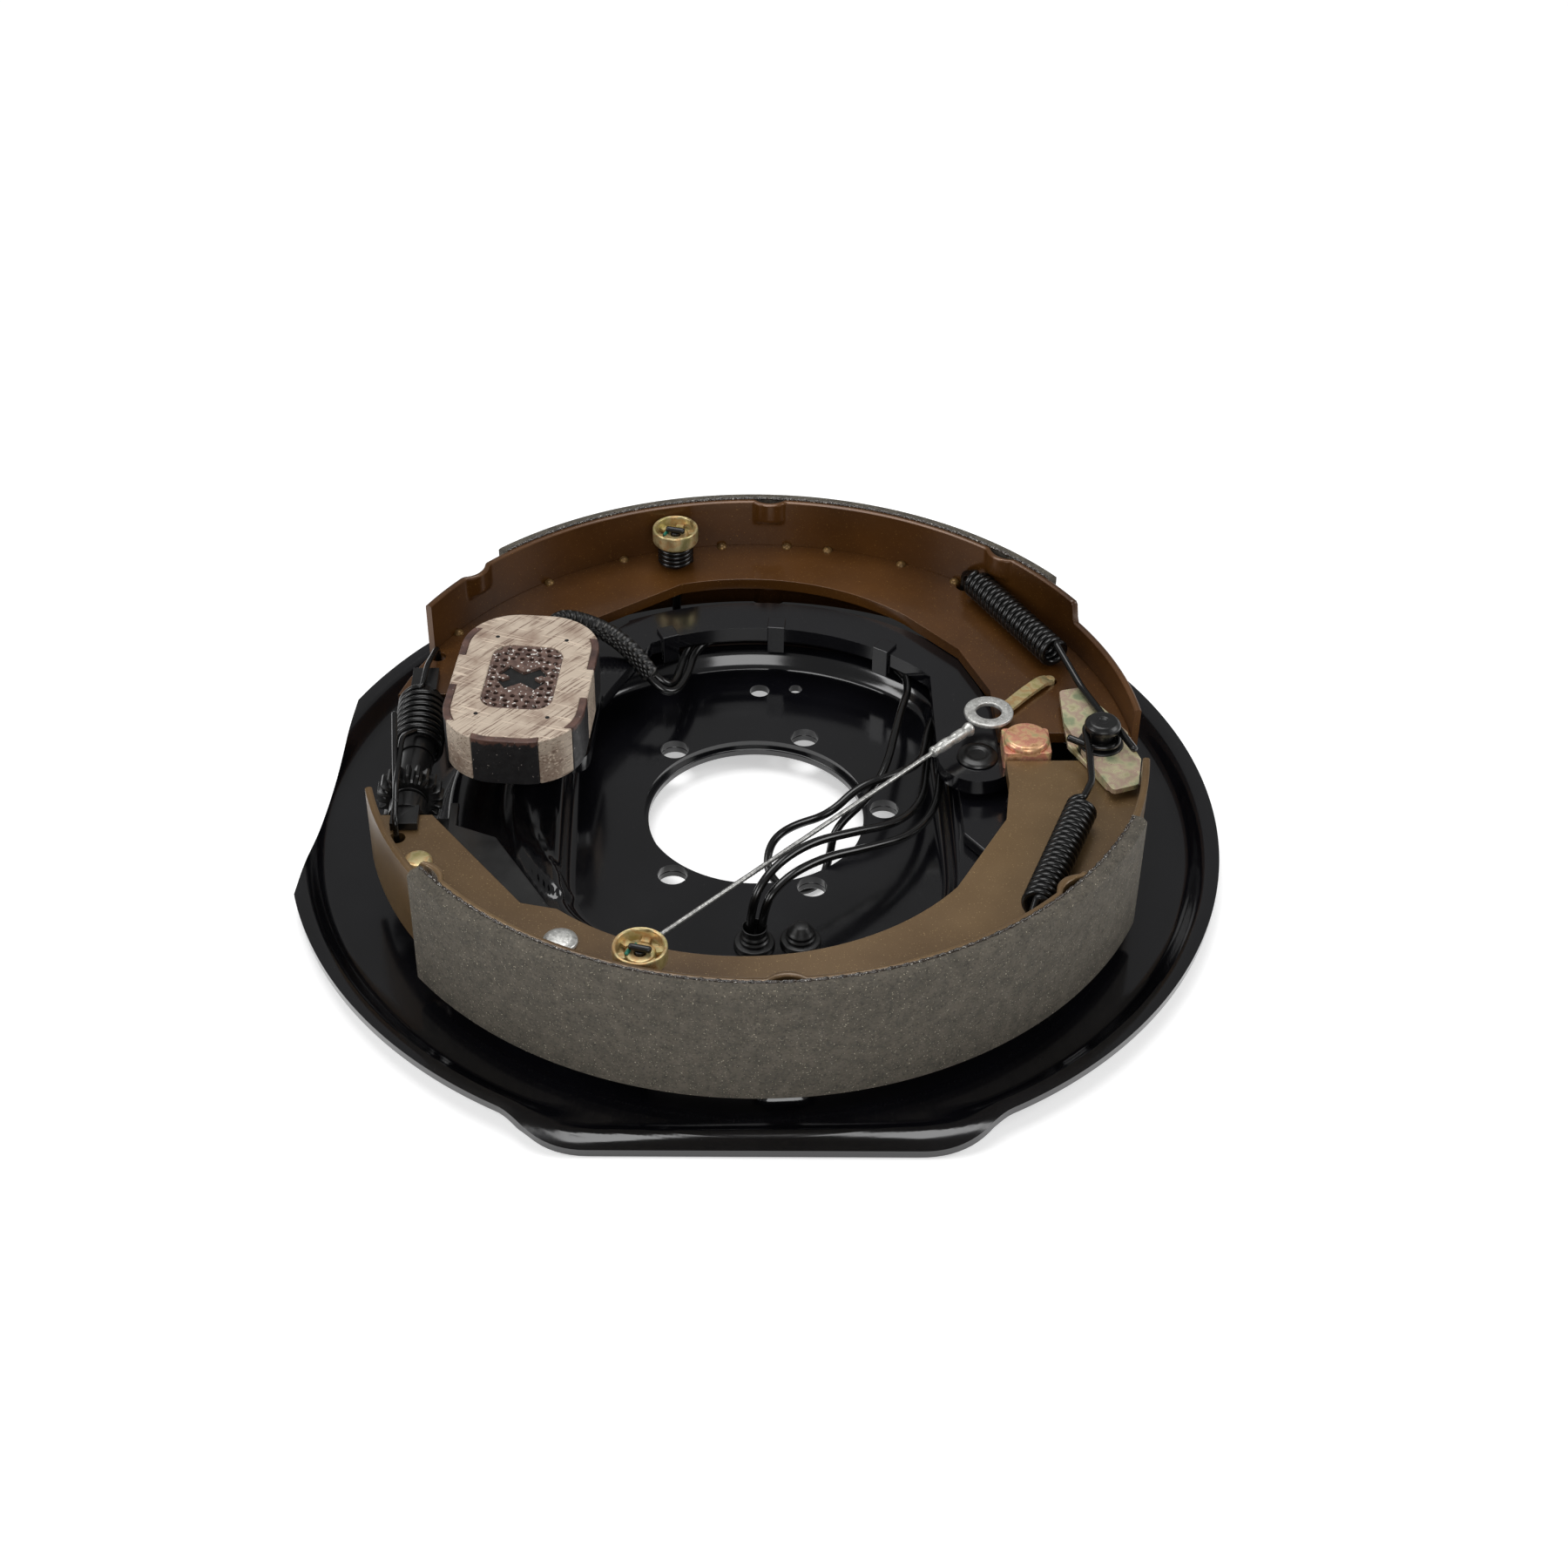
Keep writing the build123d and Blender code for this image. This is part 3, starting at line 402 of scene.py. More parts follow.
def tidy(mesh: bpy.types.Mesh, sharp: float) -> None:
    """Merges a mesh's doubles, turns its faces outwards and marks its sharp edges.

    Args:
        mesh: The mesh.
        sharp: Angle in degrees above which an edge stays sharp.
    """
    work = bmesh.new()
    work.from_mesh(mesh)
    bmesh.ops.remove_doubles(work, verts=work.verts, dist=2e-6)
    bmesh.ops.dissolve_degenerate(work, edges=work.edges, dist=1e-6)
    bmesh.ops.recalc_face_normals(work, faces=work.faces)
    work.to_mesh(mesh)
    work.free()
    mesh.shade_smooth()
    mesh.set_sharp_from_angle(angle=math.radians(sharp))


def cut_with(target: bpy.types.Object, cutter: Surface, sharp: float = 38.0) -> None:
    """Cuts a surface out of an object and keeps the result as the object's mesh.

    Args:
        target: The object.
        cutter: Closed surface of what is cut away.
        sharp: Angle in degrees above which an edge stays sharp.
    """
    tool = mesh_object("cutter", cutter)
    change = target.modifiers.new("cut", "BOOLEAN")
    change.operation, change.solver, change.object = "DIFFERENCE", "EXACT", tool
    graph = bpy.context.evaluated_depsgraph_get()
    result = bpy.data.meshes.new_from_object(target.evaluated_get(graph))
    target.modifiers.clear()
    target.data = result
    bpy.data.objects.remove(tool)
    tidy(result, sharp)


def softened(node: str, name: str, width: float, segments: int = 2) -> bpy.types.Object:
    """Copy of a CAD node with its doubles merged and its edges rounded.

    Args:
        node: Name of the CAD node.
        name: Name of the new object.
        width: Width of the rounding in millimetres.
        segments: Faces across the rounding.

    Returns:
        The new object at the origin.
    """
    source = FRAME["nodes"][node]
    mesh = source.data.copy()
    mesh.name = name
    mesh.materials.clear()
    work = bmesh.new()
    work.from_mesh(mesh)
    bmesh.ops.remove_doubles(work, verts=work.verts, dist=5e-6)
    bmesh.ops.dissolve_limit(work, angle_limit=math.radians(1.5), verts=work.verts, edges=work.edges)
    work.to_mesh(mesh)
    work.free()
    mesh.shade_smooth()
    mesh.set_sharp_from_angle(angle=math.radians(32.0))
    made = bpy.data.objects.new(name, mesh)
    bpy.context.scene.collection.objects.link(made)
    bevel = made.modifiers.new("edges", "BEVEL")
    bevel.width, bevel.segments = width / 1000.0, segments
    bevel.limit_method, bevel.angle_limit = "ANGLE", math.radians(32.0)
    bevel.harden_normals = True
    return made


# Finishes


def linear(colour: Sequence[float]) -> tuple[float, float, float, float]:
    """Turns a screen colour from 0 to 255 into the linear values that shaders take."""
    share = np.asarray(colour, float) / 255.0
    value = np.where(share <= 0.04045, share / 12.92, ((share + 0.055) / 1.055) ** 2.4)
    return (float(value[0]), float(value[1]), float(value[2]), 1.0)


def add_node(tree: bpy.types.NodeTree, kind: str, inputs: dict, **settings: object) -> bpy.types.Node:
    """Adds a shader node to a tree.

    Args:
        tree: The node tree.
        kind: End of the node's type name.
        inputs: Values or sockets for its inputs, by name or number.
        **settings: Its other settings.

    Returns:
        The node.
    """
    node = tree.nodes.new("ShaderNode" + kind)
    for key, value in settings.items():
        setattr(node, key, value)
    for key, value in inputs.items():
        if isinstance(value, Socket):
            tree.links.new(value, node.inputs[key])
        else:
            node.inputs[key].default_value = value
    return node


class Tree:
    """Node tree of one material, built round one shader, with patterns in object coordinates."""

    def __init__(self, name: str) -> None:
        """Makes an empty material of that name."""
        self.material = bpy.data.materials.new(name)
        self.material.use_nodes = True
        self.tree = self.material.node_tree
        self.add = partial(add_node, self.tree)
        self.shader = self.tree.nodes["Principled BSDF"]
        self.place = self.add("TexCoord", {}).outputs["Object"]

    def mapped(self, stretch: Point, turn: float = 0.0) -> Socket:
        """Object coordinates moved to the resting plane, turned about +Z and stretched."""
        move = self.add("Mapping", {"Vector": self.place, "Location": tuple(-metres(np.zeros(3)))})
        spin = self.add("Mapping", {"Vector": move.outputs[0], "Rotation": (0, 0, math.radians(turn))})
        return self.add("Mapping", {"Vector": spin.outputs[0], "Scale": tuple(stretch)}).outputs[0]

    def noise(self, size: float, detail: float = 3.0, vector: Optional[Socket] = None) -> Socket:
        """Noise with features of a size in millimetres."""
        inputs = {"Vector": vector or self.place, "Scale": 1000.0 / size, "Detail": detail, "Roughness": 0.55}
        return self.add("TexNoise", inputs).outputs[0]

    def ramp(self, value: Socket, stops: Sequence[tuple[float, Sequence[float]]]) -> Socket:
        """Colours read from a value, at stops of (position, screen colour)."""
        node = self.add("ValToRGB", {0: value})
        band = node.color_ramp
        while len(band.elements) < len(stops):
            band.elements.new(1.0)
        for element, (position, colour) in zip(band.elements, stops):
            element.position = position
            element.color = linear(colour)
        return node.outputs[0]

    def scaled(self, value: Socket, low: float, high: float, start: float = 0.3, end: float = 0.7) -> Socket:
        """The value taken from the range start..end to low..high."""
        return self.add("MapRange", {0: value, 1: start, 2: end, 3: low, 4: high}).outputs[0]

    def mixed(self, share: Socket, first: object, second: object) -> Socket:
        """Mixes two colours by a share."""
        return self.add("Mix", {0: share, 6: first, 7: second}, data_type="RGBA").outputs[2]

    def bump(self, height: Socket, depth: float) -> Socket:
        """Bump of a depth in millimetres."""
        return self.add("Bump", {"Height": height, "Distance": depth / 1000.0, "Strength": 1.0}).outputs[0]

    def connect(self, socket: Socket, name: str) -> None:
        """Leads a socket to one of the shader's inputs."""
        self.tree.links.new(socket, self.shader.inputs[name])


@dataclass(frozen=True)
class Finish:
    """A painted, plated or moulded surface: two shades in blotches, grain and specks.

    Attributes:
        name: Name of the material.
        dark: Darker shade.
        light: Lighter shade.
        blotch: Size of the blotches in millimetres.
        rough: Lowest and highest roughness.
        metallic: Share of metal.
        coat: Strength of the clear coat.
        grain: Size of the grain in millimetres.
        grain_depth: Depth of the grain in millimetres.
        speck: Shade of the specks; on the magnet's insert they are painted glints.
        speck_size: Their size in millimetres.
        speck_share: How many there are, from 0 to 1.
    """

    name: str
    dark: Colour
    light: Colour
    blotch: float = 12.0
    rough: tuple[float, float] = (0.3, 0.4)
    metallic: float = 0.0
    coat: float = 0.0
    grain: float = 0.6
    grain_depth: float = 0.02
    speck: Colour = (200, 200, 200)
    speck_size: float = 0.8
    speck_share: float = 0.0

    def build(self) -> bpy.types.Material:
        """Builds and returns the material."""
        tree = Tree(self.name)
        colour = self.shades(tree)
        if self.speck_share > 0:
            fleck = tree.noise(self.speck_size, 1.0)
            edge = 0.8 - 0.25 * self.speck_share
            share = tree.scaled(fleck, 0.0, 1.0, edge - 0.02, edge + 0.02)
            colour = tree.mixed(share, colour, linear(self.speck))
        tree.connect(colour, "Base Color")
        rough = tree.scaled(tree.noise(self.blotch * 0.6, 4.0), *self.rough)
        tree.connect(rough, "Roughness")
        tree.shader.inputs["Metallic"].default_value = self.metallic
        tree.shader.inputs["Coat Weight"].default_value = self.coat
        tree.shader.inputs["Coat Roughness"].default_value = 0.12
        tree.connect(self.relief(tree), "Normal")
        return tree.material

    def shades(self, tree: Tree) -> Socket:
        """Colour before the specks."""
        return tree.ramp(tree.noise(self.blotch, 5.0), [(0.32, self.dark), (0.68, self.light)])

    def relief(self, tree: Tree) -> Socket:
        """Bump of the grain."""
        return tree.bump(tree.noise(self.grain, 2.0), self.grain_depth)


@dataclass(frozen=True)
class Chromate(Finish):
    """Yellow zinc: a pale metal with a film that drifts between gold, rose and green.

    Attributes:
        rose: Shade of the rose parts.
        green: Shade of the green parts.
    """

    rose: Colour = (196, 140, 128)
    green: Colour = (132, 150, 112)

    def shades(self, tree: Tree) -> Socket:
        """Bands of green, gold, rose and gold again along one drift of noise."""
        stops = [(0.34, self.green), (0.44, self.light), (0.52, self.rose), (0.60, self.light), (0.70, self.dark)]
        return tree.ramp(tree.noise(self.blotch, 3.0), stops)


@dataclass(frozen=True)
class BrushedFace(Finish):
    """Ground steel face of the magnet: diagonal strokes and stains.

    Attributes:
        stroke: Shade of the strokes.
        turn: Direction of the strokes in degrees.
    """

    stroke: Colour = (120, 92, 82)
    turn: float = 42.0

    def shades(self, tree: Tree) -> Socket:
        """Two shades in stains, with thin darker strokes over them."""
        stain = tree.ramp(tree.noise(self.blotch, 6.0), [(0.34, self.dark), (0.56, self.light)])
        along = tree.mapped((1.0, 0.06, 1.0), self.turn)
        across = tree.mapped((1.0, 0.05, 1.0), self.turn + 68.0)
        first = tree.scaled(tree.noise(0.8, 2.0, along), 0.0, 0.9, 0.54, 0.64)
        second = tree.scaled(tree.noise(0.9, 2.0, across), 0.0, 0.9, 0.58, 0.66)
        scratched = tree.mixed(first, stain, linear(self.stroke))
        return tree.mixed(second, scratched, linear([min(255, 1.12 * value) for value in self.light]))


@dataclass(frozen=True)
class Moulded(Finish):
    """Friction lining: pressed fibres and crumbs of several shades."""

    def shades(self, tree: Tree) -> Socket:
        """Fine crumbs over soft blotches, with fibres drawn out sideways."""
        cloud = tree.ramp(tree.noise(self.blotch, 6.0), [(0.3, self.dark), (0.7, self.light)])
        crumbs = tree.scaled(tree.noise(1.1, 4.0), 0.0, 0.7, 0.5, 0.7)
        fibres = tree.scaled(tree.noise(1.6, 3.0, tree.mapped((1.0, 1.0, 5.0))), 0.0, 0.45, 0.55, 0.72)
        darker = tree.mixed(crumbs, cloud, linear([0.62 * value for value in self.dark]))
        return tree.mixed(fibres, darker, linear([min(255, 1.22 * value) for value in self.light]))


@dataclass(frozen=True)
class Cast(Finish):
    """Potting: brown where it is level with the ground face, dark in the windows of the sides.

    Attributes:
        side: Shade in the windows.
        level: Height in millimetres above which the brown begins.
    """

    side: Colour = (30, 29, 30)
    level: float = 58.6

    def shades(self, tree: Tree) -> Socket:
        """The two shades of brown over the dark one, parted by height with a ragged edge."""
        brown = tree.ramp(tree.noise(self.blotch, 5.0), [(0.32, self.dark), (0.68, self.light)])
        height = tree.add("SeparateXYZ", {0: tree.place}).outputs[2]
        ragged = tree.scaled(tree.noise(2.6, 3.0), -0.0012, 0.0012)
        edge = (self.level - MOUNTING_HEIGHT) / 1000.0
        level = tree.add("Math", {0: height, 1: ragged}, operation="ADD").outputs[0]
        share = tree.scaled(level, 0.0, 1.0, edge - 0.0004, edge + 0.0004)
        return tree.mixed(share, linear(self.side), brown)


@dataclass(frozen=True)
class Braided(Finish):
    """Braided sleeve: two families of yarns that cross, as a bump and a shade along the piece's UV."""

    def shades(self, tree: Tree) -> Socket:
        """Light glints where the yarns stand proud."""
        return tree.ramp(self.weave(tree), [(0.45, self.dark), (0.95, self.light)])

    def relief(self, tree: Tree) -> Socket:
        """Bump of the crossing yarns."""
        return tree.bump(self.weave(tree), self.grain_depth)

    def weave(self, tree: Tree) -> Socket:
        """The product of two slanted waves over the UV map."""
        chart = tree.add("UVMap", {}, uv_map="along").outputs[0]
        waves = []
        for slant in (45.0, -45.0):
            turned = tree.add("Mapping", {"Vector": chart, "Rotation": (0, 0, math.radians(slant))}).outputs[0]
            wave = tree.add("TexWave", {"Vector": turned, "Scale": 0.34, "Distortion": 0.5}, wave_profile="SIN")
            waves.append(wave.outputs[1])
        return tree.add("Math", {0: waves[0], 1: waves[1]}, operation="MULTIPLY").outputs[0]


FINISHES: dict[str, Finish] = {
    "gloss_black": Finish("plate_paint", (7, 7, 9), (13, 13, 17), 60, (0.1, 0.2), coat=0.6, grain=3.0,
                          grain_depth=0.008, speck=(60, 58, 56), speck_size=0.7, speck_share=0.03),
    "dark_steel": Finish("black_steel", (8, 8, 8), (18, 18, 18), 12, (0.28, 0.38), grain=1.4,
                         grain_depth=0.006, coat=0.1, speck=(84, 82, 78), speck_size=0.7, speck_share=0.02),
    "spring_black": Finish("spring_black", (5, 5, 5), (11, 11, 11), 12, (0.2, 0.26), grain=1.4,
                           grain_depth=0.001),
    # The two shoe coatings are one coating in a shaded and a lit copy: the far shoe's is darker as painted shade,
    # the near shoe's lighter as painted light.
    "coating_far_painted_shade": Finish("shoe_coating", (54, 30, 9), (96, 60, 22), 90, (0.26, 0.4), metallic=0.3, coat=0.35,
                      grain=0.7, grain_depth=0.02, speck=(150, 112, 60), speck_size=0.5, speck_share=0.3),
    "coating_near_painted_light": Finish("shoe_coating_near_painted_light", (82, 60, 34), (116, 92, 60), 70, (0.28, 0.42), metallic=0.25,
                           coat=0.3, grain=0.7, grain_depth=0.02, speck=(160, 134, 92), speck_size=0.5,
                           speck_share=0.35),
    "lining": Moulded("lining", (70, 66, 58), (92, 86, 76), 5, (0.8, 0.95), grain=0.8, grain_depth=0.14,
                      speck=(168, 160, 140), speck_size=0.6, speck_share=0.36),
    "bond": Finish("bond", (18, 14, 10), (52, 38, 26), 1.6, (0.12, 0.4), coat=0.6, grain=0.6, grain_depth=0.2,
                   speck=(220, 216, 206), speck_size=0.5, speck_share=0.5),
    "yellow_zinc": Chromate("yellow_zinc", (150, 138, 96), (220, 212, 172), 10, (0.2, 0.32), metallic=0.5,
                            grain=1.2, grain_depth=0.02, rose=(204, 176, 158), green=(168, 178, 142)),
    "copper_zinc": Chromate("copper_zinc", (190, 140, 100), (230, 184, 140), 6, (0.24, 0.36), metallic=0.5,
                            grain=0.9, grain_depth=0.02, rose=(214, 142, 122), green=(186, 178, 130)),
    "gold_zinc": Chromate("gold_zinc", (140, 122, 84), (204, 188, 140), 7, (0.26, 0.4), metallic=0.6,
                          grain=0.9, grain_depth=0.02, rose=(196, 158, 108), green=(180, 168, 112)),
    "bright_zinc": Finish("bright_zinc", (168, 168, 164), (226, 226, 222), 1.6, (0.3, 0.5), metallic=0.75,
                          grain=0.6, grain_depth=0.09, speck=(250, 250, 248), speck_size=0.6,
                          speck_share=0.5),
    "rubber": Finish("rubber", (8, 8, 8), (20, 20, 20), 4, (0.3, 0.5), grain=0.5, grain_depth=0.02),
    "magnet_face": BrushedFace("magnet_steel", (150, 128, 112), (196, 180, 162), 14, (0.45, 0.62),
                               metallic=0.15, grain=0.4, grain_depth=0.03, stroke=(124, 102, 88)),
    # The insert's pale specks are painted glints round its holes.
    "insert": Finish("magnet_insert", (70, 50, 44), (118, 94, 84), 3, (0.4, 0.6), metallic=0.25, grain=0.4,
                     grain_depth=0.05, speck=(226, 222, 216), speck_size=1.3, speck_share=0.6),
    "potting": Cast("potting", (58, 38, 33), (98, 70, 60), 5, (0.4, 0.6), grain=0.7, grain_depth=0.08,
                    speck=(150, 142, 136), speck_size=0.9, speck_share=0.2),
    "winding": Finish("winding", (120, 62, 30), (168, 96, 50), 2, (0.3, 0.4), metallic=0.5, grain=0.4,
                      grain_depth=0.03),
    "cable": Finish("cable_steel", (130, 130, 128), (210, 210, 206), 1.2, (0.28, 0.42), metallic=0.8,
                    grain=0.4, grain_depth=0.02),
    "insulation": Finish("lead_black", (5, 5, 5), (12, 12, 12), 8, (0.16, 0.28), grain=1.5, grain_depth=0.01,
                         coat=0.3),
    "braid": Braided("braid", (4, 4, 4), (84, 82, 79), 3, (0.32, 0.45), grain_depth=0.5),
    "weld": Finish("weld", (84, 62, 34), (132, 102, 58), 1.5, (0.3, 0.45), metallic=0.5, grain=0.6,
                   grain_depth=0.08),
    "paint_mark": Finish("paint_mark", (16, 96, 78), (40, 136, 112), 1.2, (0.35, 0.5), grain=0.4,
                         grain_depth=0.02),
    "shadow_black": Finish("shadow_black", (2, 2, 2), (6, 6, 6), 4, (0.7, 0.85), grain=0.5, grain_depth=0.01),
}
MATERIALS: dict[str, bpy.types.Material] = {}
FRAME: dict = {}

# A piece's finish here with its material slot in the record
PAINT = ("gloss_black", "plate_paint")
BLACK = ("gloss_black", "black_steel")
STEEL = ("dark_steel", "black_steel")
COIL = ("spring_black", "spring_black")
BRIGHT = ("bright_zinc", "bright_zinc")
GOLD = ("gold_zinc", "yellow_zinc")
YELLOW = ("yellow_zinc", "yellow_zinc")
COPPER = ("copper_zinc", "yellow_zinc")
RUBBER = ("rubber", "rubber")
LEAD = ("insulation", "lead_black")
SHADOW = ("shadow_black", "magnet_steel")


def finish(name: str) -> bpy.types.Material:
    """The material of a finish, built the first time it is asked for."""
    if name not in MATERIALS:
        MATERIALS[name] = FINISHES[name].build()
    return MATERIALS[name]


def place(piece: bpy.types.Object, look: str, slot: str, body: Body, *nodes: str) -> bpy.types.Object:
    """Gives a piece its finish and its body, and lets it stand for CAD nodes.

    Args:
        piece: The object.
        look: Name of its finish.
        slot: The record's material slot; not used.
        body: The body on which it rides.
        *nodes: CAD nodes that it replaces.

    Returns:
        The piece.
    """
    piece.data.materials.append(finish(look))
    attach(piece, body.value)
    if nodes:
        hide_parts(*nodes)
    LOG.info("%s: %s on %s", piece.name, look, body.value)
    return piece


def shown(name: str, surface: Surface, look: str, slot: str, body: Body, *nodes: str,
          sharp: float = 38.0) -> None:
    """Makes a piece from a surface and places it."""
    place(mesh_object(name, surface, sharp), look, slot, body, *nodes)


def edged(node: str, ending: str, width: float, look: str, slot: str, body: Body, segments: int = 2) -> None:
    """Rounds the edges of a copy of a CAD node and places it in the node's stead."""
    place(softened(node, f"{node}_{ending}", width, segments), look, slot, body, node)


def dress(node: str, look: str) -> None:
    """Gives a CAD node that stays in view its finish."""
    target = FRAME["nodes"][node]
    target.data.materials.clear()
    target.data.materials.append(finish(look))
    LOG.info("%s: CAD node in %s", node, look)


# Sub-assemblies


@dataclass
class BackingPlate:
    """Pressed dish that carries everything: recess, ring, channel and lip, with a ring behind the recess."""

    thickness: float = 3.0
    bore: float = 43.0
    recess_z: float = 12.5
    recess_radius: float = 91.0
    recess_half_width: float = 70.0
    recess_run: float = 4.33
    ring_z: float = 20.0
    ring_radius: float = 117.0
    lip_root: float = 165.5
    lip_z: float = 10.3
    lip_radius: float = 177.0
    near_chord: tuple[float, float] = (168.0, 269.0)
    near_step: tuple[float, float] = (18.5, 29.5)
    left_chord: tuple[float, float] = (166.6, 175.0)
    bolt_angles: tuple[float, ...] = (0.0, 66.0, 130.0, 230.0, 294.0)
    bolt_circle: float = 49.2
    bolt_radius: float = 5.6
    pad_angles: tuple[float, ...] = (46.0, 87.0, 140.0, 218.5, 273.0, 317.0)
    pad_radius: float = 139.6
    pad_half: tuple[float, float] = (6.2, 9.0)
    pad_height: float = 6.4
    seat_height: float = 5.5
    rib_radius: float = 89.7
    rib_angles: tuple[float, float] = (150.0, 216.0)
    rib_half_width: float = 5.6
    rib_height: float = 2.5
    bead_y: float = -159.5
    bead_height: float = 1.3
    seats: tuple[tuple[float, float, float], ...] = ((134.0, 103.7, 9.5), (131.0, 251.8, 11.0))
    grommets: tuple[tuple[float, float], ...] = ((-1.8, -76.7), (14.9, -75.5))
    columns: int = 480

    def recess_outline(self, angle: np.ndarray) -> np.ndarray:
        """Recess radius: the power mean of the circle and of the straight sides, which rounds the corners."""
        straight = self.recess_half_width / np.maximum(np.abs(np.cos(angle)), 1e-3)
        return (self.recess_radius**-22.0 + straight**-22.0) ** (-1.0 / 22.0)

    def shoulder(self, angle: np.ndarray) -> np.ndarray:
        """Radius of the ring's edge, which reaches out to the pad under the anchor post."""
        c, s = np.maximum(np.cos(angle), 1e-3), np.maximum(np.abs(np.sin(angle)), 1e-3)
        pad = np.minimum(np.minimum(140.4 / c, 17.4 / s), 147.6 / (c + s))
        pad = np.where(np.cos(angle) > 0, pad, 0.0)
        return 0.5 * (pad + self.ring_radius + np.sqrt((pad - self.ring_radius) ** 2 + 4.0))

    def raised(self, angle: np.ndarray) -> np.ndarray:
        """0 where the near edge is pressed flat, 1 where the lip stands, and an eased step between."""
        away = np.abs((np.degrees(angle) - self.near_chord[1] + 180.0) % 360.0 - 180.0)
        start, end = self.near_step
        return ease((away - start) / (end - start))

    def rim(self, angle: np.ndarray) -> np.ndarray:
        """Radius of the outer edge: the lip's circle, and the straight line of the near chord."""
        distance, direction = self.near_chord
        chord = distance / np.maximum(np.cos(angle - math.radians(direction)), 0.9)
        share = self.raised(angle)
        return chord * (1.0 - share) + self.lip_radius * share

    def bumps(self, x: np.ndarray, y: np.ndarray) -> np.ndarray:
        """Height of the pressed pads, seats and rib over the flats, each an eased step of a distance."""
        r, a = np.hypot(x, y), np.degrees(np.arctan2(y, x)) % 360.0
        height = np.zeros_like(x)
        for angle in self.pad_angles:
            c, s = math.cos(math.radians(angle)), math.sin(math.radians(angle))
            u, v = x * c + y * s - self.pad_radius, -x * s + y * c
            pad = ease((self.pad_half[0] - np.abs(u)) / 2.4) * ease((self.pad_half[1] - np.abs(v)) / 2.4)
            height += self.pad_height * pad
        for radius, angle, reach in self.seats:
            centre = polar(radius, angle)
            away = np.hypot(x - centre[0], y - centre[1])
            height += self.seat_height * ease((reach + 0.6 - away) / 2.8)
        first, last = self.rib_angles
        end = np.minimum(np.abs(a - first), np.abs(a - last)) * math.radians(1.0) * self.rib_radius
        off = r - self.rib_radius
        distance = np.where((a > first) & (a < last), np.abs(off), np.hypot(off, end))
        rib = self.rib_height * ease((self.rib_half_width - distance) / 2.6)
        bead = np.exp(-(((y - self.bead_y) / 2.6) ** 2)) * (1.0 - self.raised(np.radians(a)))
        return height + rib + self.bead_height * bead

    def sheet(self) -> Surface:
        """The pressing: a rounded profile for each angle, thickened along its own normal.

        p(s, a) = (r(s, a) cos a, r(s, a) sin a, z(s, a) + bumps), and the back is p - t n(s, a).

        Returns:
            The closed sheet.
        """
        angle = np.linspace(0.0, 2 * math.pi, self.columns, endpoint=False)
        recess, shoulder, rim = self.recess_outline(angle), self.shoulder(angle), self.rim(angle)
        near = self.raised(angle)
        root = self.lip_root - 5.0 * (1.0 - near)
        low_lip = self.thickness + 0.6
        lip = low_lip + (self.lip_z - low_lip) * near
        levels = (self.bore, self.recess_z, self.ring_z, self.thickness)
        bore, inner, ring, floor = np.outer(levels, np.ones_like(angle))
        corners = [
            (bore, inner), (recess, inner), (recess + self.recess_run, ring), (shoulder, ring),
            (shoulder + 5.5, floor), (root, floor), (root + 0.52 * (rim - root), lip), (rim, lip),
        ]
        vertices = np.stack([np.stack(corner, -1) for corner in corners])
        cuts = np.array([2.6, 3.0, 3.6, 3.6, 3.2, 3.0])
        line = rounded(vertices, cuts, 5, (9, 1, 13, 3, 21, 1, 2))
        x, y = line[..., 0] * np.cos(angle), line[..., 0] * np.sin(angle)
        top = np.stack([x, y, line[..., 1] + self.bumps(x, y)], -1)
        across = np.gradient(top, axis=0)
        around = np.roll(top, -1, 1) - np.roll(top, 1, 1)
        normal = unit(np.cross(across, around))
        back = top - self.thickness * normal
        keep = np.unique(np.concatenate([np.arange(0, len(back), 2), [len(back) - 1]]))
        return grid(np.concatenate([top, back[keep][::-1]]), wrap_rows=True, wrap_columns=True)

    def holes(self) -> Surface:
        """Everything that is punched or sheared out of the pressing."""
        def drill(x: float, y: float, radius: float) -> Surface:
            """Upright cylinder through the sheet."""
            return lathe([(0, -4), (radius, -4), (radius, 40), (0, 40)], (x, y, 0), cut=0.01, sides=48)

        cutters = [drill(*polar(self.bolt_circle, angle)[:2], self.bolt_radius) for angle in self.bolt_angles]
        cutters += [drill(2.6, 76.3, 4.0), drill(17.3, 77.4, 2.7), drill(130.0, 0.0, 6.0)]
        cutters += [drill(x, y, 5.0) for x, y in self.grommets]
        cutters += [drill(*polar(radius, angle)[:2], 2.3) for radius, angle, _ in self.seats]
        slot = rounded(np.array([[0, -13], [5, -13], [5, 13], [-5, 13], [-5, -13], [0, -13]], float), 4.9, 8)
        cutters.append(prism(slot[:-1] + (-128.5, -20.0), -4.0, 9.0))
        distance, direction = self.left_chord
        shear = box_surface((distance, -90.0, -3.0), (distance + 30.0, 90.0, 20.0))
        cutters.append(shear.placed(turned_z(direction), (0, 0, 0)))
        return joined(cutters)

    def build(self) -> None:
        """Builds the plate, the ring behind it, its slot plug and its grommets."""
        plate = mesh_object("backing_plate_pressing", self.sheet(), 46.0)
        cut_with(plate, self.holes(), 46.0)
        place(plate, *PAINT, Body.PLATE, "backing_plate")
        edged("hub_ring", "edged", 0.6, *PAINT, Body.PLATE)
        edged("adjusting_slot_plug", "moulded", 0.5, *RUBBER, Body.PLATE)
        for name, (x, y), bore in zip(("lead_grommet", "spare_grommet"), self.grommets, (4.1, 0.0)):
            shown(name + "_moulded", self.grommet(x, y, bore), *RUBBER, Body.PLATE, name)

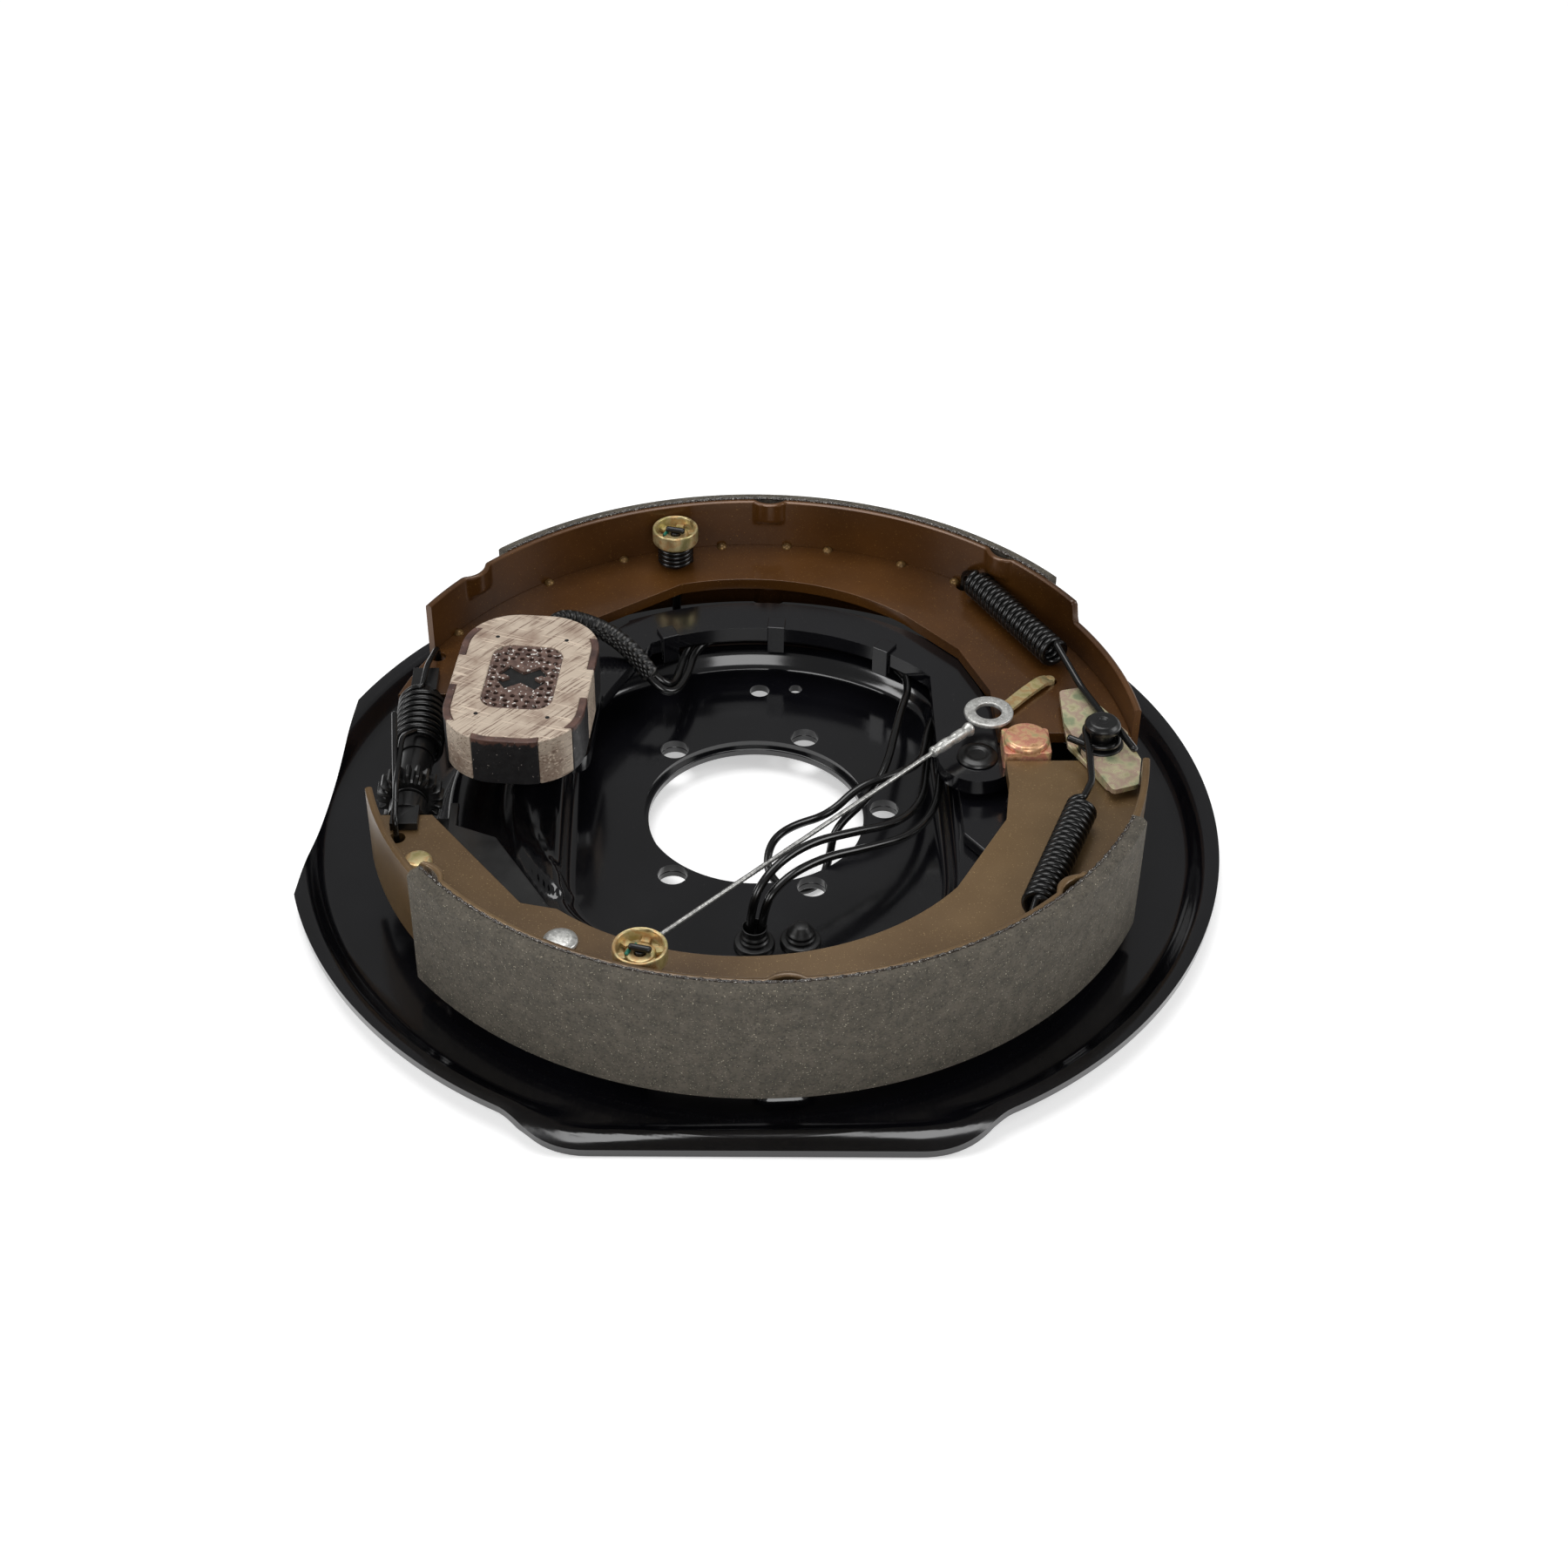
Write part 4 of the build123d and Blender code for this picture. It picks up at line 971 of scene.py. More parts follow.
    def grommet(self, x: float, y: float, bore: float) -> Surface:
        """Turned rubber grommet with a flange, two ribs and a groove, open for leads or with a blind tip."""
        top, low = self.recess_z, self.recess_z - self.thickness
        outside = [
            (3.9, low - 3.2), (6.8, low - 2.2), (6.8, low), (4.9, low), (4.9, top), (7.6, top), (7.2, top + 2.2),
            (5.0, top + 2.4), (5.6, top + 3.4), (4.6, top + 4.2), (5.1, top + 5.2), (4.2, top + 6.2),
        ]
        if bore:
            profile = outside + [(4.7, top + 9.0), (bore, top + 9.0), (bore, low - 3.2)]
        else:
            profile = [(0, low - 3.2)] + outside + [(2.6, top + 8.4), (0, top + 8.8)]
        return lathe(profile, (x, y, 0), cut=0.35, sides=40, closed=bool(bore))


@dataclass
class Shoe:
    """One brake shoe: rolled table with crimps, web, lining, and welds between table and web."""

    name: str
    body: Body
    full: tuple[float, float]
    toe: float
    heel: float
    lining: tuple[float, float]
    nibs: tuple[float, ...]
    welds: tuple[float, ...]
    low: float = 9.7
    high: float = 60.5
    outer: float = 146.5
    thickness: float = 2.6
    face: float = 151.5
    web_top: float = 39.3
    web_bottom: float = 34.5
    margin: float = 8.5

    def table(self) -> Surface:
        """Rolled band p(a, v) = r(a, z)(cos a, sin a) + z, narrower at its ends, crimped at its edges.

        The crimp takes max(0, sqrt(8.5² - s²) - 5.6) off the radius, s being the distance along
        the band from the crimp's middle, and fades 9 mm from the edge.

        Returns:
            The closed band.
        """
        start, end = min(self.toe, self.full[0]), max(self.heel, self.full[1])
        angle = np.arange(start, end + 0.2, 0.4)
        angle[-1] = end
        inside = ease((angle - self.full[0] + 0.9) / 0.9) * ease((self.full[1] - angle + 0.9) / 0.9)
        low = (self.low + self.margin * (1.0 - inside))[:, None]
        high = (self.high - self.margin * (1.0 - inside))[:, None]
        middle = np.linspace(0.25, 0.75, 6)[1:-1]
        share = np.concatenate([np.linspace(0, 0.25, 12), middle, np.linspace(0.75, 1, 12)])
        count = len(share)
        up = np.concatenate([share, [1.0, 1.0], share[::-1], [0.0, 0.0]])[None, :]
        edge = np.concatenate([np.zeros(count), [0.0, 0.0], np.zeros(count), [0.0, 0.0]])
        edge[[0, 2 * count + 1]] = 0.5
        edge[[count - 1, count + 2]] = -0.5
        across = np.concatenate([np.zeros(count), [0.25, 0.75], np.ones(count), [0.75, 0.25]])[None, :]
        z = low + (high - low) * up + edge[None, :]
        dent = np.zeros_like(z)
        for nib in self.nibs:
            s = (angle - nib) * math.radians(1.0) * 144.0
            depth = np.maximum(np.sqrt(np.maximum(72.25 - s**2, 0.0)) - 5.6, 0.0)[:, None]
            near = ease((z - self.high + 10.6) / 1.8) + ease((self.low + 10.6 - z) / 1.8)
            dent += depth * near
        radius = self.outer - self.thickness * across - dent
        a = np.radians(angle)[:, None]
        points = np.stack([radius * np.cos(a), radius * np.sin(a), z], -1)
        return grid(points, wrap_columns=True, caps=True)

    def friction(self) -> Surface:
        """Lining: a section with chamfered outer edges carried along the arc."""
        inner, chamfer = self.outer, 1.6
        section = np.array([
            (inner, self.low), (self.face - chamfer, self.low), (self.face, self.low + chamfer),
            (self.face, self.high - chamfer), (self.face - chamfer, self.high), (inner, self.high),
        ])
        a = np.radians(np.linspace(*self.lining, 130))[:, None]
        radius, height = section[:, 0], np.broadcast_to(section[:, 1], (130, 6))
        points = np.stack([radius * np.cos(a), radius * np.sin(a), height], -1)
        return grid(points, wrap_columns=True, caps=True)

    def bond(self) -> Surface:
        """Lines of glue squeezed out between table and lining, r(s) = 0.55 + 0.25 sin(1.7 s) sin(0.61 s + 1)."""
        a = np.radians(np.linspace(self.lining[0] + 0.4, self.lining[1] - 0.4, 420))
        s = a * self.outer
        size = 0.55 + 0.25 * np.sin(1.7 * s) * np.sin(0.61 * s + 1.0)
        arc = self.outer * np.column_stack([np.cos(a), np.sin(a)])
        lines = [np.column_stack([arc, np.full(len(arc), z)]) for z in (self.low, self.high)]
        return joined([tube(line, size, 8) for line in lines])

    def nuggets(self) -> Surface:
        """Weld beads in the corners between web and table."""
        beads = []
        for angle in self.welds:
            for height, side in ((self.web_top, 1.0), (self.web_bottom, -1.0)):
                profile = np.array([(0, -0.6), (2.3, -0.6), (1.9, 0.7), (0.9, 1.5), (0, 1.6)]) * (1.0, side)
                centre = polar(self.outer - self.thickness - 1.1, angle, height)
                beads.append(lathe(profile, centre, cut=0.5, sides=14))
        return joined(beads)

    def build(self) -> None:
        """Builds the shoe."""
        name, body = self.name, self.body
        # The far (primary) shoe takes the coating darkened with painted shade, the near (secondary) one the coating
        # lightened with painted light.
        look = "coating_far_painted_shade" if name == "primary" else "coating_near_painted_light"
        shown(f"{name}_table_rolled", self.table(), look, "shoe_coating", body, f"{name}_table", sharp=50.0)
        edged(f"{name}_web", "edged", 0.5, look, "shoe_coating", body)
        shown(f"{name}_lining_moulded", self.friction(), "lining", "lining", body, f"{name}_lining", sharp=25.0)
        shown(f"{name}_welds", self.nuggets(), "weld", "shoe_coating", body)
        shown(f"{name}_bond", self.bond(), "bond", "lining", body, sharp=60.0)


@dataclass
class Retractor:
    """Close-wound return spring with an end in the web and a hook round the anchor post."""

    name: str
    far: Point
    near: Point
    radius: float
    hole: tuple[float, float]
    hook_z: float
    hook: tuple[tuple[float, float], ...]
    turns: int = 19
    wire: float = 2.8
    web_bottom: float = 34.5

    def path(self) -> np.ndarray:
        """End hook, helix and long hook as one path."""
        x, y = self.hole
        coil = helix(self.far, self.near, self.radius - self.wire / 2, self.turns)
        end = bent([(x, y, self.web_bottom - 1), (x, y, self.far[2] - 0.4), coil[0]], 1.2)
        hook = bent([coil[-1], *[(px, py, self.hook_z) for px, py in self.hook]], 2.0)
        return bent(np.vstack([end[:-1], coil, hook[1:]]), 0.5, 0.55)

    def build(self) -> None:
        """Builds the spring."""
        surface = tube(self.path(), self.wire / 2, 12)
        shown(f"{self.name}_wound", surface, *COIL, Body.PLATE, self.name, sharp=60.0)


@dataclass
class HoldDown:
    """Pins, coils and cups that hold both shoes against the plate."""

    places: tuple[tuple[float, float], ...] = ((134.0, 103.7), (131.0, 251.8))
    top: float = 57.0
    radius: float = 9.4
    web_top: float = 39.3
    seat: float = 5.5

    def cup(self, centre: np.ndarray) -> Surface:
        """Cup with a rolled rim, a raised middle and six claws inside the rim."""
        t, r = self.top, self.radius
        profile = [
            (2.1, t - 5.8), (4.6, t - 5.8), (4.8, t - 7.0), (8.6, t - 7.0), (r, t - 6.0), (r, t - 0.4),
            (r - 0.6, t), (r - 1.3, t - 0.5), (r - 1.3, t - 5.2), (5.6, t - 5.6), (5.0, t - 3.3), (2.1, t - 3.3),
        ]
        claw = box_surface((5.4, -1.5, t - 4.4), (r - 0.9, 1.5, t - 3.4))
        claws = [claw.placed(turned_z(60.0 * k + 14.0), centre) for k in range(6)]
        return joined([lathe(profile, centre, cut=0.45, sides=56, closed=True)] + claws)

    def pin(self, centre: np.ndarray) -> Surface:
        """Pin with a flat head under the plate and a flattened end across the cup's slot."""
        t, s = self.top, self.seat
        profile = [(0, s - 1.8), (4.0, s - 1.8), (4.0, s - 0.1), (1.8, s - 0.1), (1.8, t - 2.4), (0, t - 2.4)]
        shank = lathe(profile, centre, sides=32)
        bar = tube(np.linspace(centre + (-3.2, 0.9, t - 1.5), centre + (3.2, -0.9, t - 1.5), 8), 1.25, 16)
        return joined([shank, bar])

    def coil(self, centre: np.ndarray) -> Surface:
        """Coil between the web and the cup."""
        path = helix(centre + (0, 0, self.web_top + 1.0), centre + (0, 0, self.top - 7.9), 6.5, 4.4)
        return tube(path, 0.95, 12)

    def mark(self, centre: np.ndarray) -> Surface:
        """Dab of paint in the cup."""
        dab = [(-4.6, -1.2, self.top - 3.1), (-3.4, 1.6, self.top - 3.0), (-1.4, 3.6, self.top - 3.1)]
        return tube(bent(centre + np.array(dab), 0.8), 0.7, 10)

    def build(self) -> None:
        """Builds both hold-downs."""
        kinds = (
            ("cups_pressed", self.cup, GOLD, 40.0),
            ("pins_headed", self.pin, ("dark_steel", "yellow_zinc"), 40.0),
            ("springs_wound", self.coil, COIL, 60.0),
        )
        centres = [polar(radius, angle) for radius, angle in self.places]
        for name, make, look, sharp in kinds:
            node = "hold_down_" + name.split("_")[0]
            pair = joined([make(centre) for centre in centres])
            shown("hold_down_" + name, pair, *look, Body.PLATE, node, sharp=sharp)
        marks = joined([self.mark(centre) for centre in centres])
        shown("hold_down_paint_marks", marks, "paint_mark", "yellow_zinc", Body.PLATE)


@dataclass
class Anchor:
    """Anchor post, its reinforcement and the two guide plates over the shoe ends."""

    x: float = 130.0

    def build(self) -> None:
        """Builds the anchor's pieces."""
        profile = [
            (0, 13.5), (9.0, 13.5), (9.0, 17.0), (6.0, 17.0), (6.0, 25.0), (10.0, 25.0), (10.0, 34.2), (8.5, 34.2),
            (8.5, 44.9), (4.5, 44.9), (4.5, 51.4), (6.8, 51.4), (6.8, 53.6), (5.2, 55.1), (2.0, 55.2), (1.4, 54.7),
            (0, 54.6),
        ]
        post = lathe(profile, (self.x, 0, 0), cut=0.55)
        shown("anchor_post_turned", post, *STEEL, Body.PLATE, "anchor_post", sharp=40.0)
        edged("anchor_plate", "edged", 0.9, *PAINT, Body.PLATE)
        for node in ("guide_plate_lower", "guide_plate_upper"):
            edged(node, "plated", 0.45, *YELLOW, Body.PLATE)


@dataclass
class Adjuster:
    """Socket, star wheel with its screw, nut and the long spring over them."""

    x: float = -128.5
    z: float = 36.9
    star: float = 12.2
    teeth: int = 20
    width: float = 7.5
    star_y: float = -20.0
    low_leg: tuple[Point, ...] = (
        (-130.7, -47.4, 33.0), (-130.7, -47.4, 46.0), (-131.5, -32.0, 51.6), (-132.0, -3.0, 51.3),
    )
    high_leg: tuple[Point, ...] = ((-127.5, 48.0, 47.0), (-125.2, 63.9, 44.0), (-125.2, 63.9, 33.0))
    strand: tuple[Point, ...] = ((-131.0, -39.0, 49.2), (-133.6, -14.0, 52.0), (-135.8, 8.0, 53.4))

    def wheel(self) -> Surface:
        """Star wheel with its barrel and screw: r(a) rises and falls with each tooth, over a chamfered width."""
        a = np.linspace(0.0, 2 * math.pi, self.teeth * 8, endpoint=False)
        wave = np.clip(1.5 * np.cos(self.teeth * a), -1.0, 1.0)
        rim = self.star - 1.2 + 1.2 * wave
        half = self.width / 2
        rows = np.array([
            (0.0, half), (0.55, half), (0.9, half), (1.0, half - 0.7),
            (1.0, 0.7 - half), (0.9, -half), (0.55, -half), (0.0, -half),
        ])[..., None]
        reach, y = rows[:, 0] * rim, rows[:, 1] + np.full_like(a, self.star_y)
        points = np.stack([reach * np.sin(a) + self.x, y, reach * np.cos(a) + self.z], -1)
        barrel = [(0, -4.0), (6.5, -4.0), (6.5, 20.6), (5.0, 20.6), (5.0, 42.0), (0, 42.0)]
        shaft = lathe(barrel, (self.x, self.star_y, self.z), (0, 1, 0), cut=0.5, sides=40)
        line = np.linspace((self.x, self.star_y, self.z), (self.x, -33.0, self.z), 90)
        screw = tube(line, 4.6, 20, lobes=1, depth=0.05, pitch=1.5)
        return joined([grid(points, wrap_columns=True), shaft, screw])

    def spring(self) -> Surface:
        """Coil over the socket with a long leg to each shoe and the strand beside it."""
        coil = helix((self.x, 7.4, self.z), (self.x, 35.6, self.z), 8.8, 8)
        low = bent([*self.low_leg, coil[0]], 2.2)
        high = bent([coil[-1], *self.high_leg], 1.8)
        strand = bent(self.strand, 1.5)
        whole = bent(np.vstack([low[:-1], coil, high[1:]]), 0.6, 0.6)
        return joined([tube(whole, 1.1, 12), tube(strand, 1.1, 12)])

    def build(self) -> None:
        """Builds the adjuster's pieces."""
        edged("adjuster_socket", "turned", 0.5, *STEEL, Body.PLATE)
        edged("adjuster_nut", "turned", 0.5, *STEEL, Body.ADJUSTER_NUT)
        shown("star_wheel_cut", self.wheel(), *STEEL, Body.STAR_WHEEL, "star_wheel", sharp=32.0)
        spring = self.spring()
        shown("adjuster_spring_wound", spring, *COIL, Body.PLATE, "adjuster_spring", sharp=60.0)


@dataclass
class AdjusterCable:
    """Strip, eyelet, ferrule and cable of the self adjuster, its lever and the rivets."""

    eyelet: tuple[float, float] = (89.5, 20.6)
    strip: tuple[Point, ...] = ((115.9, 46.0, 39.8), (113.0, 43.6, 41.4), (105.0, 35.2, 41.5), (95.7, 24.4, 41.4))
    ferrule: tuple[Point, Point] = ((81.4, 11.2, 42.6), (66.8, -1.6, 41.6))
    cable_ends: tuple[Point, Point] = ((-43.0, -101.5, 33.2), (-50.0, -103.5, 32.9))
    cable_radius: float = 0.85
    pawl: tuple[float, float] = (-69.1, -103.7)
    stop: tuple[float, float] = (-121.6, -62.0)

    def build(self) -> None:
        """Builds the pieces of the self adjuster."""
        strip = strap(bent(self.strip, 2.0), 5.2, 1.5)
        peg = lathe([(0, 33.5), (2.2, 33.5), (2.2, 40.6), (0, 41.0)], (*self.strip[0][:2], 0), cut=0.3, sides=24)
        hook = joined([strip, peg])
        shown("cable_hook_folded", hook, *GOLD, Body.PRIMARY_SHOE, "cable_hook", sharp=50.0)
        ring = lathe([(5.0, 42.3), (9.5, 42.3), (9.5, 44.1), (5.0, 44.1)], (*self.eyelet, 0), cut=0.6, closed=True)
        shown("cable_eyelet_stamped", ring, *BRIGHT, Body.PRIMARY_SHOE, "cable_eyelet", sharp=40.0)
        start, end = np.asarray(self.ferrule, float)
        run = np.linspace(start + (end - start) * 0.02, end, 34)
        swage = 2.3 - 0.32 * np.maximum(np.sin(np.linspace(0, 5 * math.pi, 34)), 0.0)
        swage[:4] = np.linspace(2.9, 2.4, 4)
        ferrule = tube(run, swage, 20, flat=0.9)
        shown("cable_ferrule_swaged", ferrule, *BRIGHT, Body.PRIMARY_SHOE, "cable_ferrule", sharp=50.0)
        line = bent([end + (start - end) * 0.15, *self.cable_ends], 1.5, 0.7)
        cable = tube(line, self.cable_radius, 18, lobes=6, depth=0.16, pitch=8.0)
        shown("adjuster_cable_laid", cable, "cable", "cable_steel", Body.PRIMARY_SHOE, "adjuster_cable", sharp=60.0)
        edged("adjuster_lever", "edged", 0.4, *STEEL, Body.ADJUSTER_LEVER)
        pivot = [
            (0, 26.6), (5.0, 26.6), (5.0, 28.7), (3.0, 28.7), (3.0, 31.8), (5.0, 31.8), (5.0, 34.5), (3.0, 34.5),
            (3.0, 39.3), (6.3, 39.3), (6.1, 40.6), (4.2, 41.7), (0, 42.1),
        ]
        pawl = lathe(pivot, (*self.pawl, 0), cut=0.5, sides=40)
        shown("pawl_rivet_domed", pawl, *BRIGHT, Body.SECONDARY_SHOE, "pawl_rivet")
        stop = [
            (0, 32.3), (5.2, 32.3), (5.2, 34.5), (3.0, 34.5), (3.0, 39.3), (5.2, 39.3), (5.2, 41.2), (4.2, 42.2),
            (0, 42.5),
        ]
        rivet = lathe(stop, (*self.stop, 0), cut=0.5, sides=40)
        shown("stop_rivet_domed", rivet, *GOLD, Body.SECONDARY_SHOE, "stop_rivet")


@dataclass
class MagnetLever:
    """Lever arm round the hub, its pivot stud, the block between the shoes and the lead clips."""

    pivot: tuple[float, float] = (84.3, 4.5)
    block: tuple[float, float] = (102.5, 4.5)

    def build(self) -> None:
        """Builds the lever's pieces."""
        body = Body.MAGNET_LEVER
        edged("lever_arm", "edged", 0.9, *BLACK, body, 3)
        edged("lever_block", "edged", 0.8, *COPPER, body, 3)
        head = [(0, 28.2), (4.0, 28.2), (4.0, 42.0), (8.8, 42.0), (8.8, 43.2), (7.9, 44.5), (0, 44.6)]
        rivet = lathe(head, (*self.block, 0), cut=0.7, sides=56)
        shown("block_rivet_headed", rivet, *COPPER, body, "block_rivet")
        stud = [
            (0, 20.0), (5.0, 20.0), (5.0, 25.0), (10.0, 25.0), (10.0, 27.8), (6.0, 27.8), (6.0, 34.5), (8.0, 34.5),
            (7.2, 35.6), (5.2, 36.2), (4.2, 36.2), (3.2, 35.6), (0, 35.5),
        ]
        turned = lathe(stud, (*self.pivot, 0), cut=0.35, sides=56)
        shown("lever_pivot_stud_turned", turned, *STEEL, Body.PLATE, "lever_pivot_stud", sharp=30.0)
        edged("wire_clips", "folded", 0.35, *BLACK, body)


@dataclass
class Magnet:
    """Brake magnet: ground face, potted channels, perforated insert, stud and spring."""

    centre: tuple[float, float] = (-88.5, 22.2)
    tilt: float = -5.8
    face: float = 60.2
    insert_top: float = 59.6
    hole_radius: float = 1.05
    cross_half: float = 8.8
    pit_radius: float = 0.85
    pit_places: tuple[float, float] = (13.4, 24.6)

    def perforation(self) -> list[tuple[float, float]]:
        """Centres of the insert's holes: three rings of a rounded rectangle, clear of the cross."""
        centres = []
        for half_x, half_y, across, along in ((11.3, 17.8, 6, 9), (8.3, 14.8, 4, 7), (5.4, 11.8, 3, 0)):
            xs = np.linspace(-half_x, half_x, across + 1)
            ys = np.linspace(-half_y, half_y, along + 1)
            centres += [(x, side * half_y) for x in xs for side in (-1, 1)]
            centres += [(side * half_x, y) for y in ys[1:-1] for side in (-1, 1)]
        return centres

    def at(self, x: float, y: float, z: float) -> np.ndarray:
        """Turns a point of the magnet's own frame into one of the model's."""
        return turned_z(self.tilt) @ np.array([x, y, z]) + np.array([*self.centre, 0.0])

    def pegs(self, places: Sequence[tuple[float, float]], radius: float, low: float, high: float,
             sides: int) -> Surface:
        """Upright cylinders at places in the magnet's own frame, between two heights."""
        profile = [(0, low), (radius, low), (radius, high), (0, high)]
        return joined([lathe(profile, self.at(x, y, 0.0), cut=0.01, sides=sides) for x, y in places])

    def build(self) -> None:
        """Builds the magnet's pieces."""
        edged("magnet_body", "ground", 0.7, "magnet_face", "magnet_steel", Body.MAGNET, 3)
        edged("magnet_potting", "cast", 0.5, "potting", "potting", Body.MAGNET)
        insert = softened("magnet_insert", "magnet_insert_pierced", 0.3)
        insert.modifiers.clear()
        places = self.perforation()
        cut_with(insert, self.pegs(places, self.hole_radius, self.insert_top - 2.2, self.insert_top + 1, 12), 32.0)
        # Its finish has pale specks that are painted glints round the holes.
        place(insert, "insert", "magnet_steel", Body.MAGNET, "magnet_insert")
        # A dark box under the insert's cross opening: painted shade in the opening, not a part of the magnet.
        half = self.cross_half
        box = box_surface((-half, -half, self.insert_top - 4.0), (half, half, self.insert_top - 1.3))
        floor = box.placed(turned_z(self.tilt), (*self.centre, 0.0))
        shown("magnet_cross_painted_shade", floor, *SHADOW, Body.MAGNET)
        # Dark discs flush with the face at its four pits: painted shade in the pits, which are not cut into the
        # face.
        places = [(side * self.pit_places[0], end * self.pit_places[1]) for side in (-1, 1) for end in (-1, 1)]
        pit_shade_discs = self.pegs(places, self.pit_radius, self.face - 0.4, self.face + 0.02, 20)
        shown("magnet_pit_painted_shade", pit_shade_discs, *SHADOW, Body.MAGNET)
        dress("magnet_coil", "winding")
        edged("magnet_stud", "turned", 0.5, *STEEL, Body.MAGNET_LEVER)
        x, y = self.centre
        coil = tube(helix((x, y, 35.6), (x, y, 39.4), 12.5, 3, end_radius=8.0), 0.6, 10)
        shown("magnet_spring_wound", coil, *COIL, Body.MAGNET_LEVER, "magnet_spring", sharp=60.0)


@dataclass
class Leads:
    """Two insulated wires and the braided sleeve at the magnet.

    The wires leave the sleeve and run along the lever's arm. The first of them drops in a slack loop
    through the hub hole, and both cross the recess to the grommet.
    """

    diameter: float = 3.2
    sleeve_diameter: float = 7.0
    wire_a: tuple[Point, ...] = (
        (-3.8, -76.7, 11.0), (-3.6, -76.5, 30.0), (3.0, -68.0, 40.0), (17.0, -54.0, 41.0), (34.0, -43.0, 37.0),
        (52.0, -30.0, 30.0), (63.0, -10.0, 24.5), (66.0, 14.0, 23.0), (70.0, 40.0, 24.5),
    )
    wire_b: tuple[Point, ...] = (
        (0.2, -76.7, 11.0), (0.6, -76.4, 30.0), (9.0, -68.0, 37.0), (23.0, -56.0, 36.0), (40.0, -46.0, 32.0),
        (57.0, -33.0, 26.5), (68.0, -13.0, 23.0), (71.5, 12.0, 23.0), (75.0, 38.0, 24.5),
    )
    arm_a: tuple[Point, ...] = (
        (-41.6, 59.4, 32.0), (-37.0, 55.4, 28.0), (-30.6, 58.6, 25.6), (-26.2, 71.0, 25.8), (-24.0, 84.0, 26.2),
        (-18.0, 93.2, 26.3), (-6.0, 94.7, 26.3), (8.0, 94.6, 26.3), (22.0, 92.3, 26.3), (35.0, 88.3, 26.3),
        (47.0, 82.5, 26.3), (57.0, 75.8, 26.3), (61.0, 66.0, 26.5),
    )
    arm_b: tuple[Point, ...] = (
        (-39.8, 61.6, 32.0), (-35.6, 58.8, 29.0), (-31.8, 63.0, 26.4), (-29.4, 74.0, 26.2), (-27.6, 84.6, 26.3),
        (-22.0, 95.6, 26.3), (-8.0, 98.4, 26.3), (8.0, 98.4, 26.3), (22.0, 96.2, 26.3), (36.0, 91.9, 26.3),
        (49.0, 85.7, 26.3), (60.0, 78.4, 26.3), (68.4, 70.0, 26.2), (73.2, 56.0, 25.2), (75.4, 46.0, 24.7),
        (75.0, 38.2, 24.5),
    )
    loop: tuple[Point, ...] = (
        (61.1, 65.8, 26.5), (62.0, 57.6, 27.6), (58.0, 42.0, 29.6), (54.0, 23.5, 31.0), (49.9, 4.2, 30.5),
        (42.5, -10.7, 27.0), (29.2, -19.3, 19.3), (27.4, -22.6, 6.9), (24.0, -31.5, 1.8), (16.1, -36.5, 2.1),
        (7.9, -34.9, 3.9), (3.3, -28.4, 7.6), (5.3, -20.3, 13.6), (13.0, -16.9, 18.4), (27.0, -20.2, 26.4),
        (38.3, -9.0, 31.0), (52.0, -2.4, 31.0), (62.5, 7.0, 28.6), (65.5, 20.0, 26.2), (67.5, 32.0, 25.2),
        (70.0, 39.8, 24.5),
    )
    sleeve_start: Point = (3.0, 41.3, 52.0)
    sleeve: tuple[Point, ...] = (
        (-78.0, 76.0, 50.5), (-62.0, 79.0, 43.0), (-50.0, 70.0, 39.5), (-41.5, 61.0, 32.5),
    )
    chart_scale: float = 2.4

    def wire(self, name: str, points: Sequence[Point], body: Body, *nodes: str) -> bpy.types.Object:
        """Round wire on a smooth spline with the route's points as its control points.

        Args:
            name: Name of the object.
            points: The route in millimetres.
            body: The body on which it rides.
            *nodes: CAD nodes that it replaces.

        Returns:
            The curve object.
        """
        data = bpy.data.curves.new(name, "CURVE")
        data.dimensions = "3D"
        spline = data.splines.new("NURBS")
        spline.points.add(len(points) - 1)
        route = np.column_stack([metres(np.asarray(points, float)), np.ones(len(points))])
        spline.points.foreach_set("co", route.ravel())
        spline.order_u = 3
        spline.use_endpoint_u = True
        spline.resolution_u = 14
        data.bevel_depth = self.diameter / 2000.0
        data.bevel_resolution = 5
        data.use_fill_caps = True
        made = bpy.data.objects.new(name, data)
        bpy.context.scene.collection.objects.link(made)
        return place(made, *LEAD, body, *nodes)

    def free(self, lead: bpy.types.Object, points: Sequence[Point]) -> None:
        """Takes a wire and its route and does nothing with them.

        Args:
            lead: The wire; not used.
            points: Its route in millimetres; not used.
        """

    def build(self) -> None:
        """Builds the leads and the sleeve."""
        for name, route in (("lead_wire_a", self.wire_a), ("lead_wire_b", self.wire_b)):
            self.free(self.wire(name + "_drawn", route, Body.PLATE, name), route)
        self.wire("lead_arm_run_a", self.arm_a, Body.MAGNET_LEVER)
        self.wire("lead_arm_run_b", self.arm_b, Body.MAGNET_LEVER)
        self.free(self.wire("lead_loop", self.loop, Body.MAGNET_LEVER), self.loop)
        points = bent([Magnet().at(*self.sleeve_start), *self.sleeve], 6.0, 0.8)
        surface = tube(points, self.sleeve_diameter / 2 + 0.5, 40, flat=0.72)
        sleeve = mesh_object("lead_sleeve_braided", surface, 60.0)
        self.chart(sleeve, points)
        place(sleeve, "braid", "braid", Body.MAGNET_LEVER, "lead_sleeve")

